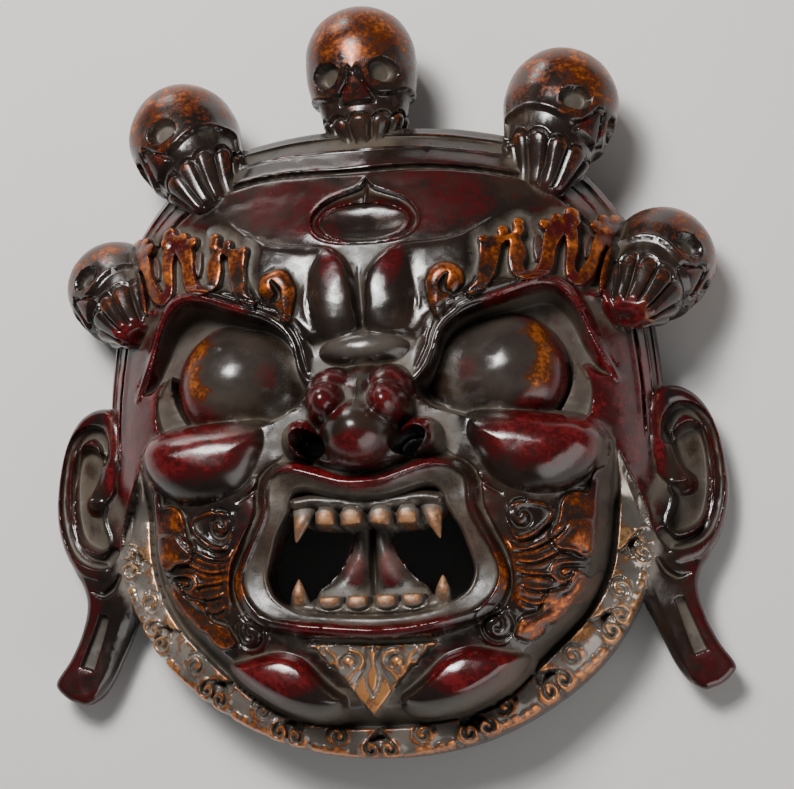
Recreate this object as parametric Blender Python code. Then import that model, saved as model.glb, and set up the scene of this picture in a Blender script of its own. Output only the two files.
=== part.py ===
"""Bhairab mask: a carved and lacquered wooden temple mask, hollow behind, lying on its back rim.

The face is a grid raised into relief. Five skulls, two ears and four fangs are fused to it, and
a hollow is cut from behind, so the mask is one solid. Sizes are in millimetres until the end:
x runs across the face, y up it and z out of it, from the plane of the back rim.
"""

import math

import bmesh
import bpy
import numpy as np

MM = 0.001
FAR = 1000.0

HEAD = {
    "outline": [(0, 150.5), (60, 148.5), (112, 134), (146, 100), (162, 58), (171, -12), (167, -82),
                (155, -136), (122, -183), (64, -218.5), (0, -229.5)],
    "middle": -40.0,
    "edge": [(-90, 54), (-45, 46), (-12, 31), (8, 28), (30, 31), (50, 41), (90, 62)],
    "dome": 112.0,
    "cells": 200,
    "triangles": 5200,
}
BAND = {"width": 32.0, "share": [(-8, 0.33), (5, 0.36), (30, 0.42), (45, 0.72), (62, 0.95), (90, 1.04)]}
FRINGE = {
    "inner": [(142, -56), (142, -80), (137, -120), (122, -150), (92, -181), (62, -203), (24, -211),
              (0, -212)],
    "tail": [(142, -56), (151, -72), (159, -90), (165, -106)],
    "rise": 14.0, "fall": 27.0, "valley": 6.0,
    "pairs": -24.0, "singles": -34.0, "pitch": -15.2, "repeats": 4,
}
THIRD_EYE = {"rim": [(0, 111), (4, 105.5), (18, 100), (27, 94), (32, 84), (27, 73), (12, 68.9), (0, 68.2)],
             "middle": (0, 82), "radii": (26.5, 13.2), "depth": 5.2}
FROWN = {
    "plate": [(1.3, 12), (1.8, 34), (4, 50), (11, 61), (24, 67), (48, 69.6), (66, 76.5), (84, 87),
              (108, 66), (100, 42), (60, 27), (30, 8)],
    "rise": 4.2, "roll": 7.0, "lobe": (13.5, 37), "radii": (18, 32), "swell": 5.6,
}
EYE = {
    "hollow": [(31, -18), (39, 2), (48, 19), (68, 28), (90, 35.5), (106, 38.5), (119, 30), (129, 11),
               (141.5, -12), (127, -9), (128.5, -30), (118, -42), (70, -40), (44, -32)],
    "lid": [(27, -19, 115), (37.2, -7, 114), (41.5, 8, 113.5), (51, 21.2, 112), (70, 29.2, 110),
            (91, 36.6, 105.5), (106, 39.8, 100), (118.5, 33, 92.5), (127.5, 17.5, 83), (143.5, -13, 66)],
    "fold": [(33, 3), (40, 17), (56, 29.6), (79, 37.5), (101, 45.2)],
    "lower": [(31, -23.5), (46, -28.3), (70, -29), (92, -31)],
    "ball": (80.5, -9), "radii": (36.5, 37), "top": 107.5, "foot": 72,
}
NOSE = [  # centre, radii, top, foot, turn, blend
    ((0, -38), (33, 36), 139, 96, 0, 8),
    ((0, 4), (29.5, 13.5), 121.5, 103, 0, 1),
    ((16, -21.5), (15.5, 15.5), 136, 112, 0, 1),
    ((17.2, -31.5), (13.2, 14.2), 154, 120, 0, 1),
    ((34, -49.5), (13.5, 12.5), 140, 104, 10, 1.5),
    ((0, -60), (29, 11), 139, 108, 0, 5),
    ((0, -48.5), (22.5, 21.5), 156, 120, 0, 4),
]
NOSTRIL = {"middle": (28.6, -53.2), "radii": (10.4, 6.6), "turn": 26, "floor": 98.0}
CUSHIONS = [  # outline, middle and radii of the crown, its turn and height, roll of the edge, top, foot
    ([(52.5, -50), (56, -34.5), (76, -31.2), (109, -35.5), (130.5, -43), (135, -53), (130, -67),
      (113, -80), (93.5, -85), (72, -80.5)], (90, -52), (50, 38), -8, 7, 23, 121, 90),
    ([(13, -194), (27, -180), (42, -166.5), (66, -165.5), (88, -173), (82, -184), (58, -200), (26, -207)],
     (47, -184), (44, 26), 12, 12, 12, 104, 68),
]
MOUTH = {
    "lip": [(0, -75.6), (14, -73.9), (35, -67), (48, -66.2), (57.2, -72.6), (58.8, -86.5), (62.5, -98),
            (71.6, -115.7), (74.2, -128.6), (68.6, -141.7), (56, -150.5), (25, -156), (0, -157.5)],
    "inner": [(0, -83.5), (20, -80.2), (36, -76.4), (44, -81), (49.7, -95), (58.9, -118), (58.5, -131),
              (49.6, -141), (28.7, -148), (0, -149.8)],
    "upper": [(0, 126), (40, 122), (60, 113), (76, 103)],
    "lower": [(0, 114), (40, 112), (60, 107), (76, 102)],
    "roll": 6.5,
    "gape": [(34, -98.3), (12, -100.3), (16.5, -116), (26, -127.6), (36, -138), (43, -141),
             (55.5, -134.5), (58.4, -121), (52.5, -102.5), (45, -90)],
    "tongue": [(0, -97), (10.5, -99), (15.5, -116), (26, -128.4), (38, -137.5), (36, -140), (0, -140)],
    "gums": [([(0, -85.4), (15, -84.4), (30, -82.8), (41, -84)], 114),
             ([(0, -145.5), (30, -144.2), (43, -142)], 101)],
    "teeth": [((8.2, -93.4), (7.2, 6.6), 119, 1), ((23.4, -92.8), (6.9, 6.4), 117.5, 1),
              ((8.3, -141.2), (7.4, 4.9), 106, -1), ((23.9, -140.7), (7.6, 4.8), 105, -1)],
}
BROW = {
    "stems": [  # x, y and half the width along each flame
        [(63, 33, 2.4), (71, 40, 4.2), (74, 51, 5.3), (74.8, 62, 6.4)],
        [(70.8, 65.5, 2.8), (83, 67.5, 3), (89, 64.5, 3.9), (89.4, 55.5, 5.1), (90.2, 47.6, 4.2),
         (96.8, 44.3, 3.8), (104, 49, 4.4), (106.9, 59.3, 4.5), (109.5, 69.5, 5.4), (113, 74.5, 5)],
        [(113, 74.5, 4), (120.6, 74.1, 4.3), (120.9, 64, 4), (119.3, 54.6, 3.2), (121, 45, 4.2),
         (129.3, 49.1, 4.6), (134.3, 60.2, 3.6), (139, 71, 5)],
        [(87.2, 67.4, 3), (90, 71.5, 3.3), (90.2, 77, 3.2)], [(106, 76, 3.4), (114, 78, 5), (121.6, 82, 5)],
        [(136.5, 78, 4), (144, 80, 6), (152, 83, 5)], [(141, 74, 6), (149, 65.5, 6), (149.5, 60, 4.6)],
        [(147, 67, 4), (141.8, 55.5, 3.5), (138.4, 43.3, 3), (136.3, 38, 1.4)],
    ],
    "knobs": [(81.8, 72.4, 3.5), (90.2, 77.4, 3.7), (105.4, 77.2, 3.9), (112.4, 81.6, 3.8),
              (121.8, 85.6, 4.6), (135.6, 79.4, 4), (140.2, 85, 3.9), (147.2, 86.6, 4.4),
              (153.8, 88.2, 4.4), (154.5, 80.5, 4.2)],
    "rise": 7.2,
    "curl": [(44, 19), (39.2, 28), (37.6, 40.3), (41.9, 50.3), (49.5, 53.2), (57.6, 49.4), (60.5, 42.3),
             (57.2, 35), (50.6, 31), (47.6, 22.5)],
    "ridge": [(48.6, 36.2), (53.4, 31.6), (60, 35.2), (65.1, 41.7), (69.3, 54)],
    "mass": [(50, 30), (72, 36), (96, 42), (120, 40), (138, 38)],
}
FLAMES = {
    "upper": [(139, -50), (134.5, -65.8), (126.6, -74), (112.3, -84), (107, -99), (104, -110),
              (115, -116.5), (126, -116.9), (130.6, -101), (136.7, -84.7), (140, -58)],
    "lower": [(98.7, -140.6), (110.8, -133.6), (123.5, -128), (131, -124.4), (124.4, -139), (112, -146),
              (96.9, -160.6), (80.8, -162.5), (85, -153)],
    "almond": [(78.4, -90), (87.5, -85.8), (100.4, -87.3), (106.2, -93.3), (95.3, -105.8), (84, -109.2),
               (78, -97)],
    "rise": 6.5,
    "spirals": [(87.5, -95, 8.8, 100, 1), (70.5, -156.5, 10.4, 20, -1)],
    "strips": [[(115.5, -96.5), (104, -109.1), (80, -114.8)], [(121, -117.5), (103, -118.6), (81, -121)],
               [(106, -131.2), (91, -128.4), (82, -127.2)], [(103, -136.5), (92.7, -136.9), (84, -135)]],
}
GOATEE = [(0, -165), (38.3, -164.3), (29.6, -171), (25, -177), (17.7, -183.5), (13.7, -189), (7.4, -197),
          (0, -206)]
SKULL = {  # height, half-width, front and back depth of each ring, from the crown down to the chin
    "rings": [(36, 0, 0, 0), (34.5, 10, 9, 11), (30, 19.5, 19, 21), (23, 27.5, 27, 29),
              (10, 33.8, 34.5, 35.4), (-6, 35, 36, 36), (-16, 34, 34.5, 33), (-32, 31, 31, 27.5),
              (-42, 28.5, 30, 25), (-50, 25, 28.5, 22), (-58, 20.5, 26.5, 20), (-70, 14, 20, 15),
              (-70, 0, 0, 0)],
    "brow_line": [(0, -11.5), (9, -17.5), (17, -24), (28, -27), (40, -26.8), (68, -23.6), (100, -26),
                  (180, -28)],
    "socket": (33, -13, 17, 7.4, 7.5), "segments": (48, 36), "triangles": 360,
    "petals": [(0, 18.5, -37.5), (33.5, 15.5, -37.5), (65, 16, -36.5), (97, 16, -37)],  # angle, half, top
    "places": [  # centre, pitch, yaw and tilt in degrees, scale
        ((-6, 194.5, 54), (4, -3, 3), 0.98),
        ((116.5, 162, 48), (-27, 49, -37), 0.98),
        ((-119, 154, 48), (-30, -43, 51), 0.965),
        ((173, 65, 34), (-60, 39, -77), 0.92),
        ((-166, 63.5, 33), (-54, -37, 75), 0.86),
    ],
}
EAR = {
    "outer": [(164, -13.5), (181, -12.8), (197, -26), (206, -55), (206, -86), (195, -112), (186.5, -132),
              (192, -155), (206, -178.5), (198, -190), (189, -193.5)],
    "inner": [(160, -14.5), (150, -40), (151, -80), (153, -138), (165, -165), (178, -188), (186, -193)],
    "helix": [(181, -70), (166.5, -48), (168, -22), (190, -20), (202, -48), (202, -85), (187, -109),
              (176, -113)],
    "scapha": [(172, -44), (174, -32), (189, -28), (199, -50), (198.5, -85), (183, -106), (167, -102)],
    "concha": [(174, -44), (184, -33), (196, -46), (198, -72), (188, -97), (171, -99), (173, -80),
               (182, -70), (177, -58)],
    "lobe": [(157, -126), (171, -161), (180, -187)], "slot": [(174.5, -139.5), (180, -155), (186, -171.5)],
    "thick": 15.0, "segments": (26, 90), "triangles": 400,
}
FANGS = [  # path and radii from root to tip
    ([(37, -86, 102), (37.5, -95, 108), (41, -105.5, 110)], 6.8),
    ([(42, -144, 94), (42.5, -136, 101), (41.5, -127, 102)], 6.2),
]
HOLLOW = {"wall": 23.0, "depth": 80.0, "segments": (40, 20)}
LACQUER = {"color": (0.045, 0.033, 0.026, 1), "roughness": 0.38}


def ease(t):
    """0 to 1 with soft ends."""
    t = np.clip(t, 0, 1)
    return t * t * (3 - 2 * t)


def bump(t):
    """1 in the middle, 0 from |t| = 1 on."""
    return np.clip(1 - t * t, 0, 1) ** 2


def by_angle(angle, steps):
    return np.interp(angle, *np.array(steps, float).T)


def curve(points, steps=5, closed=False):
    """A smooth line through the points."""
    p = np.array(points, float)
    ends = (p[-1:], p[:2]) if closed else (2 * p[:1] - p[1:2], 2 * p[-1:] - p[-2:-1])
    p = np.vstack([ends[0], p, ends[1]])
    t = np.arange(steps)[:, None] / steps
    runs = [0.5 * (2 * b + (c - a) * t + (2 * a - 5 * b + 4 * c - d) * t**2 + (3 * b - a - 3 * c + d) * t**3)
            for a, b, c, d in zip(p[:-3], p[1:-2], p[2:-1], p[3:])]
    return np.vstack(runs + ([] if closed else [p[-2:-1]]))


def nearest(x, y, path, reach=20.0):
    """Distance to a path, the share of its length passed there, and the side, for points in reach."""
    gap, share, side = np.full(x.shape, FAR), np.zeros(x.shape), np.zeros(x.shape)
    low, high = path[:, :2].min(0) - reach, path[:, :2].max(0) + reach
    near = np.nonzero((x > low[0]) & (x < high[0]) & (y > low[1]) & (y < high[1]))
    px, py = x[near], y[near]
    best, passed, hand = np.full(px.shape, FAR**2), np.zeros(px.shape), np.zeros(px.shape)
    runs = np.hypot(*np.diff(path[:, :2], axis=0).T)
    starts = np.concatenate([[0], np.cumsum(runs)])
    for (ax, ay), (bx, by), run, start in zip(path[:-1, :2], path[1:, :2], runs, starts):
        sx, sy, dx, dy = bx - ax, by - ay, px - ax, py - ay
        t = np.clip((dx * sx + dy * sy) / (run * run + 1e-9), 0, 1)
        far = (dx - t * sx) ** 2 + (dy - t * sy) ** 2
        closer = far < best
        best[closer], passed[closer] = far[closer], (start + t * run)[closer] / starts[-1]
        hand[closer] = np.sign(sx * dy - sy * dx)[closer]
    gap[near], share[near], side[near] = np.sqrt(best), passed, hand
    return gap, share, side


def depth_in(x, y, outline, reach=20.0):
    """Distance inside a closed outline, negative outside it."""
    odd = np.zeros(x.shape, bool)
    for (ax, ay), (bx, by) in zip(outline[:, :2], np.roll(outline[:, :2], -1, axis=0)):
        if ay != by:
            odd ^= ((ay > y) != (by > y)) & (x < (bx - ax) * (y - ay) / (by - ay) + ax)
    gap = nearest(x, y, np.vstack([outline, outline[:1]]), reach)[0]
    return np.where(odd, gap, -gap)


def both_sides(half):
    """A closed outline from its right half, which runs from the middle line to the middle line."""
    half = np.array(half)
    return np.vstack([half, half[::-1][1:-1] * [-1, 1]])


def turned(x, y, centre, degrees):
    c, s = math.cos(math.radians(degrees)), math.sin(math.radians(degrees))
    return (x - centre[0]) * c + (y - centre[1]) * s, (y - centre[1]) * c - (x - centre[0]) * s


def swell(z, x, y, centre, radii, top, foot, turn=0, blend=1.0, power=0.5):
    """A domed swelling, melted into the surface round it."""
    u, v = turned(x, y, centre, turn)
    q = 1 - (u / radii[0]) ** 2 - (v / radii[1]) ** 2
    cap = foot + (top - foot) * np.where(q > 0, np.clip(q, 0, 1) ** power, 1.2 * q)
    share = np.clip(0.5 + 0.5 * (cap - z) / blend, 0, 1)
    mixed = z * (1 - share) + cap * share + blend * share * (1 - share)
    z[:] = np.where(q > -0.6, mixed, z)


def cushion(z, x, y, shape, middle, radii, turn, crown, roll, top, foot):
    """A swelling with a rolled edge inside a closed outline, highest over the crown's middle."""
    deep = depth_in(x, y, curve(shape, 3, True), 6)
    u, v = turned(x, y, middle, turn)
    level = top - foot - crown * np.clip((u / radii[0]) ** 2 + (v / radii[1]) ** 2, 0, 1.6)
    t = 1 - np.clip(deep / roll, 0, 1)
    z[:] = np.where(deep > 0, np.maximum(z, foot + level * np.sqrt(1 - t * t)), z)


def in_strokes(x, y, lines, knobs):
    """Distance inside a set of brush strokes and round knobs, negative outside them."""
    deep = np.full(x.shape, -FAR)
    for line in lines:
        path = curve(line, 4)
        gap, share, _ = nearest(x, y, path, 15)
        passed = np.concatenate([[0], np.cumsum(np.hypot(*np.diff(path[:, :2], axis=0).T))])
        deep = np.maximum(deep, np.interp(share * passed[-1], passed, path[:, 2]) - gap)
    for cx, cy, size in knobs:
        deep = np.maximum(deep, size - np.hypot(x - cx, y - cy))
    return deep


def ridge(z, x, y, points, width, height):
    """A rounded ridge along a line, or a groove where the height is negative."""
    path = curve(points)
    gap, share, _ = nearest(x, y, path, np.max(width) + 1)
    ends = np.linspace(0, 1, np.size(width)), np.linspace(0, 1, np.size(height))
    half = np.interp(share, ends[0], np.atleast_1d(width))
    z += np.interp(share, ends[1], np.atleast_1d(height)) * bump(gap / half)


OUTLINE = curve([(-60, 148.5)] + HEAD["outline"] + [(-64, -218.5)])[5:-5]
BEARING = np.degrees(np.arctan2(OUTLINE[:, 1] - HEAD["middle"], OUTLINE[:, 0]))
REACH = np.hypot(OUTLINE[:, 0], OUTLINE[:, 1] - HEAD["middle"])


def folded(angle):
    """A bearing round the face's middle, mirrored to the right half."""
    angle = (angle + 180) % 360 - 180
    return np.where(angle > 90, 180 - angle, np.where(angle < -90, -180 - angle, angle))


def radius(angle):
    return np.interp(folded(angle), BEARING[::-1], REACH[::-1])


def bearing(x, y):
    return folded(np.degrees(np.arctan2(y - HEAD["middle"], x)))


def on_rim(angle, inset):
    """The point this far inside the outline at a bearing."""
    reach = radius(angle) - inset
    return reach * math.cos(math.radians(angle)), HEAD["middle"] + reach * math.sin(math.radians(angle))


def dome(x, y):
    """The plain head, before anything is carved on it."""
    angle = bearing(x, y)
    edge = by_angle(angle, HEAD["edge"])
    share = np.clip(np.hypot(x, y - HEAD["middle"]) / radius(angle), 0, 1)
    return edge + (HEAD["dome"] - edge) * (1 - share**3.5) ** 0.87


def carve_band(z, x, y, rim):
    """The stepped band along the hairline, fading out above the jaw."""
    angle = bearing(x, y)
    t = rim / (BAND["width"] * by_angle(angle, BAND["share"]))
    steps = -1.8 * ease((t - 0.22) / 0.03) + 1.8 * ease((t - 0.5) / 0.03) + 1.6 * bump((t - 0.545) / 0.05)
    steps += ease((t - 0.62) / 0.3) * ease((1 - t) / 0.06) - 4.5 * bump((t - 1.03) / 0.07)
    z += steps * ease((angle + 3) / 8)


def carve_fringe(z, x, y, rim):
    """The gilt ribbon of curls round the jaw, with a valley between it and the cheek."""
    angle = bearing(x, y)
    edge = by_angle(angle, HEAD["edge"])
    inner, tail = curve(FRINGE["inner"]), curve(FRINGE["tail"])
    gap, _, side = nearest(x, y, inner, 60)
    outside = (side > 0) & (y < FRINGE["tail"][0][1])
    ribbon = edge + FRINGE["rise"] * (1 - np.clip(gap / FRINGE["fall"], 0, 1))
    behind, _, beyond = nearest(x, y, tail, 60)
    past_tail = (beyond > 0) & (y > FRINGE["tail"][-1][1])
    wall = z - 9 * ease(behind / 6) * ease((FRINGE["tail"][0][1] - y) / 30)
    for number in range(FRINGE["repeats"]):
        step = FRINGE["pitch"] * number
        pair, single = FRINGE["pairs"] + step, FRINGE["singles"] + step
        for turn, inset, size in ((pair + 2.1, 8, 6.2), (pair - 2.1, 8, 6.2), (single, 18.5, 7)):
            away = np.hypot(x - on_rim(turn, inset)[0], y - on_rim(turn, inset)[1])
            ribbon += 3.2 * ease((size - away) / 2.5) - 2.4 * bump(away / (0.42 * size))
    away = np.hypot(x - 8.5, y + 225)
    ribbon += 3 * ease((6.5 - away) / 2.5) - 2.2 * bump(away / 2.8)
    level = ribbon - 5 * bump((rim - 1) / 2.5)
    climb = ease((gap - 1) / 12)
    valley = (edge + FRINGE["rise"] - FRINGE["valley"]) * (1 - climb) + z * climb
    inside = (side < 0) & (gap < 13) & (y < FRINGE["tail"][0][1] + 6)
    made = np.where(outside, np.where(past_tail, wall, level), np.where(inside, np.minimum(valley, z), z))
    z += ease((FRINGE["tail"][0][1] + 4 - y) / 34) * (made - z)


def carve_forehead(z, x, y):
    """The third eye in its hollow and the two frowning lobes under it."""
    deep = depth_in(x, y, both_sides(curve(THIRD_EYE["rim"])))
    z += 1.2 * bump(np.minimum(deep, 0) / 3) * (deep < 0)
    z -= THIRD_EYE["depth"] * (0.3 + 0.7 * ease((y - 68) / 32)) * ease(deep / 1.6)
    z += 2.2 * ease((deep - 2) / 7)
    u, v = turned(x, y, THIRD_EYE["middle"], 0)
    q = 1 - (u / THIRD_EYE["radii"][0]) ** 2 - (v / THIRD_EYE["radii"][1]) ** 2
    z += 1.2 * np.exp(-((q / 0.09) ** 2)) * (q < 0.1) - 5 * np.clip(q, 0, 1) ** 0.7
    deep = depth_in(x, y, curve(FROWN["plate"], 3, True), 8)
    t = 1 - np.clip(deep / FROWN["roll"], 0, 1)
    z += FROWN["rise"] * np.where(deep > 0, np.sqrt(1 - t * t), 0) * ease((86 - x) / 20) * ease((y - 6) / 8)
    u, v = turned(x, y, FROWN["lobe"], 0)
    q = 1 - (u / FROWN["radii"][0]) ** 2 - (v / FROWN["radii"][1]) ** 2
    z += FROWN["swell"] * np.clip(q, 0, 1) ** 0.8 * ease(deep / 4)
    ridge(z, x, y, [(0, 54), (0, 40), (0, 14)], 2.6, [-1, -3, -3.5])


def carve_eyes(z, x, y):
    """The hooded, bulging eyes."""
    hollow = depth_in(x, y, curve(EYE["hollow"], closed=True))
    floor = np.minimum(z, 98 - 0.32 * np.maximum(x - 70, 0)) - 12 * ease(hollow / 6)
    z += ease((hollow + 0.8) / 1.6) * (floor - z)
    lid = curve(EYE["lid"])
    gap, share, side = nearest(x, y, lid)
    height = np.interp(share, np.linspace(0, 1, len(lid)), lid[:, 2])
    reach = np.interp(share, [0, 0.12, 0.45, 0.7, 0.85, 1], [5, 8, 8.5, 6, 4.5, 2])
    hold = np.where(side > 0, 1 - ease(gap / reach - 0.35), ease((1.9 - gap) / 1.4)) * ease((1 - share) * 14)
    z[:] = z * (1 - hold) + (height - 0.5) * hold + 1.5 * bump(gap / 2.4)
    ridge(z, x, y, EYE["fold"], 2.2, 1.4)
    swell(z, x, y, (71, -8), (36, 31), 101, 86, blend=5)
    swell(z, x, y, EYE["ball"], EYE["radii"], EYE["top"], EYE["foot"], blend=4)
    ridge(z, x, y, EYE["lower"], [2.6, 3, 2, 1.5], [3, 4, 3, 1])


def carve_nose(z, x, y):
    """The nose and, beside it and under it, the bags of the cheeks and of the chin."""
    for centre, radii, top, foot, turn, blend in NOSE:
        swell(z, x, y, centre, radii, top, foot, turn, blend)
    u, v = turned(x, y, NOSTRIL["middle"], NOSTRIL["turn"])
    q = 1 - (u / NOSTRIL["radii"][0]) ** 2 - (v / NOSTRIL["radii"][1]) ** 2
    z += ease(3.5 * q) * np.minimum(NOSTRIL["floor"] - z, 0)
    for place in CUSHIONS:
        cushion(z, x, y, *place)


def carve_mouth(z, x, y):
    """The rolled lip, gums, teeth and tongue, with the gape open on both sides of the tongue."""
    deep = depth_in(x, y, both_sides(curve(MOUTH["lip"])), 30)
    inside = depth_in(x, y, both_sides(curve(MOUTH["inner"])), 30)
    upper = ease((y + 120) / 24)
    level = upper * by_angle(x, MOUTH["upper"]) + (1 - upper) * by_angle(x, MOUTH["lower"])
    w = np.clip(-deep / MOUTH["roll"], 0, 1.3)
    roll = level - 8 * (1 - np.sqrt(np.clip(1 - w**2, 0, 1)))
    hold = 1 - ease((w - 0.75) / 0.5)
    across = np.clip(deep / np.maximum(deep - inside, 1), 0, 1)
    slope = level - 1.6 * ease(deep / 1.6) - 4.5 * across**1.6 - 15 * ease(inside / 2.2)
    z[:] = np.where(deep > 0, slope, z * (1 - hold) + roll * hold) + 1.3 * bump(deep / 1.8)
    for gum, top in MOUTH["gums"]:
        gap = nearest(x, y, curve(gum), 9)[0]
        arch = top - 15 + 15 * np.sqrt(np.clip(1 - (gap / 7) ** 2, 0, 1))
        z[:] = np.where(gap < 7, np.maximum(z, arch), z)
    for centre, (half, tall), top, up in MOUTH["teeth"]:
        u, v = (x - centre[0]) / half, (y - centre[1]) / tall * up
        power = 2.2 + 5 * ease(0.5 - 0.7 * v)
        q = 1 - (np.abs(u) ** power + np.abs(v) ** power) ** (1 / power)
        face = top - 2 * u * u - 1.2 * v * v - 6 * (1 - np.clip(2.8 * q, 0, 1)) ** 2
        z[:] = np.where(q > 0, np.maximum(z, face), z)
    deep = depth_in(x, y, both_sides(MOUTH["tongue"]))
    half = np.interp(-y, [97, 108, 116, 123, 133], [10.5, 12, 15.5, 21, 33])
    lobe = 92 - 10 * np.clip((np.abs(x) - 0.5 * half) / (0.62 * half), -1, 1) ** 2 - 5 * bump(x / 2.6)
    z[:] = np.where((deep > 0) & (y > -137), lobe, z)
    z[:] = np.where(depth_in(x, y, curve(MOUTH["gape"], closed=True)) > 0, 0, z)


def carve_brows(z, x, y):
    """Brows like rows of flames with knobbed tops, each with a curl at its inner end."""
    flames = in_strokes(x, y, BROW["stems"], BROW["knobs"])
    curl = depth_in(x, y, curve(BROW["curl"], 4, True), 10)
    t = 1 - np.clip(curl / 7.5, 0, 1)
    roll = np.where(curl > 0, 8.5 * np.sqrt(1 - t * t) * (0.72 + 0.28 * ease((y - 30) / 16)), 0)
    mass = 3 * ease((6.5 - nearest(x, y, curve(BROW["mass"]), 9)[0]) / 5)
    over = ease((x - 118) / 8) * ease(flames + 0.5)
    z += np.maximum(np.maximum(BROW["rise"] * ease(flames + 0.5), roll), mass) + over * (dome(x, y) + 1 - z)
    z -= 5 * bump(np.hypot(x - 51.2, y - 35.6) / 2.8)
    ridge(z, x, y, BROW["ridge"], 2, [0.8, 2.2, 2.4, 1.6, 0.8])


def carve_flames(z, x, y):
    """Flame scrolls outside the corners of the mouth."""
    for name in ("upper", "lower"):
        t = 1 - np.clip(depth_in(x, y, curve(FLAMES[name], 4, True)) / 7, 0, 1)
        z += FLAMES["rise"] * np.sqrt(1 - t * t)
    deep = depth_in(x, y, curve(FLAMES["almond"], 4, True))
    z += 1.8 * ease(deep / 1.4) - 2.2 * ease((deep - 2) / 2.5)
    for points in FLAMES["strips"]:
        gap, share, side = nearest(x, y, curve(points), 9)
        fade = ease(share * 5) * ease((1 - share) * 5)
        z += fade * (1.5 * bump((gap - 2) / 2) * (side < 0) - 2.4 * bump(gap / 1.6))
    for cx, cy, size, start, hand in FLAMES["spirals"]:
        away = np.hypot(x - cx, y - cy)
        turn = (hand * np.degrees(np.arctan2(y - cy, x - cx)) - start) % 360 / 360
        arm = np.minimum(np.abs(away - size * (1 - turn / 1.7)), np.abs(away - size * (0.41 - turn / 1.7)))
        z += 2.6 * np.sqrt(np.clip(1 - (away / (size + 1.5)) ** 2, 0, 1))
        z -= np.where(away < size + 2, 2.4 * bump(arm / 2), 0)


def carve_goatee(z, x, y):
    deep = depth_in(x, y, both_sides(GOATEE))
    level = 96 + 0.36 * (y + 175)
    shade = np.minimum(z, level - 2.6 - 1.2 * deep)
    z[:] = np.where(deep > 0, level - 1.6 + 2.2 * ease(deep), np.where(deep > -3, shade, z))


def relief(across, y):
    """The height of the carved face above the back rim."""
    x = np.abs(across)
    z = dome(x, y)
    rim = nearest(x, y, OUTLINE, 5)[0]
    carve_band(z, x, y, rim)
    carve_fringe(z, x, y, rim)
    carve_forehead(z, x, y)
    carve_eyes(z, x, y)
    carve_nose(z, x, y)
    carve_mouth(z, x, y)
    carve_brows(z, x, y)
    carve_flames(z, x, y)
    carve_goatee(z, x, y)
    return np.maximum(z, 2)


def face_shape(points):
    """A square grid drawn out to the face's outline, ring for ring, and raised into relief."""
    u, v = points[:, 0], points[:, 1]
    level = np.maximum(np.abs(u), np.abs(v))
    wide = np.abs(u) >= np.abs(v)
    share = np.where(wide, v, u) / np.where(wide, np.where(u == 0, 1, u), v)
    angle = np.where(wide, np.where(u < 0, 180, 0) + 45 * share, np.where(v < 0, 270, 90) - 45 * share)
    reach = level * radius(angle)
    x = reach * np.cos(np.radians(angle))
    y = HEAD["middle"] + reach * np.sin(np.radians(angle))
    return np.stack([x, y, relief(x, y)], 1), np.stack([x, y, 0 * x], 1)


def ear_shape(points):
    """A ladder between the ear's two edges, its front raised into relief."""
    u, v = 0.5 + 0.5 * points[:, 0], 0.5 - 0.5 * points[:, 1]
    edges = []
    for name in ("inner", "outer"):
        line = curve(EAR[name])
        passed = np.concatenate([[0], np.cumsum(np.hypot(*np.diff(line, axis=0).T))])
        edges.append(np.stack([np.interp(v * passed[-1], passed, line[:, k]) for k in (0, 1)]))
    x, y = edges[0] * (1 - u) + edges[1] * u
    low = ease((y + 125) / -30)
    plane = (42 - 0.4 * (x - 158)) * (1 - low) + (30 - 0.05 * (x - 180)) * low
    z = plane.copy()
    ridge(z, x, y, EAR["helix"], [8.5, 7.5, 6.5, 5, 5, 5.5, 6], [6, 8, 5, 4, 3, 3, 2])
    gap = nearest(x, y, curve(EAR["scapha"]), 8)[0]
    z -= 6 * ease((4.8 - gap) / 2.5)
    z -= 11 * ease(depth_in(x, y, curve(EAR["concha"], closed=True)) / 5)
    gap, _, side = nearest(x, y, curve(EAR["lobe"]), 40)
    z -= np.where((side < 0) & (y < -120), 0.75 * gap, 0) * ease((-y - 122) / 14)
    gap, share, _ = nearest(x, y, curve(EAR["slot"]), 10)
    z -= 5 * ease(3.4 + 1.4 * share - gap) * ((share > 0) & (share < 1))
    back = np.maximum(np.minimum(plane - EAR["thick"], z - 5), 3)
    return np.stack([x, y, z], 1), np.stack([x, y, back], 1)


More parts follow.
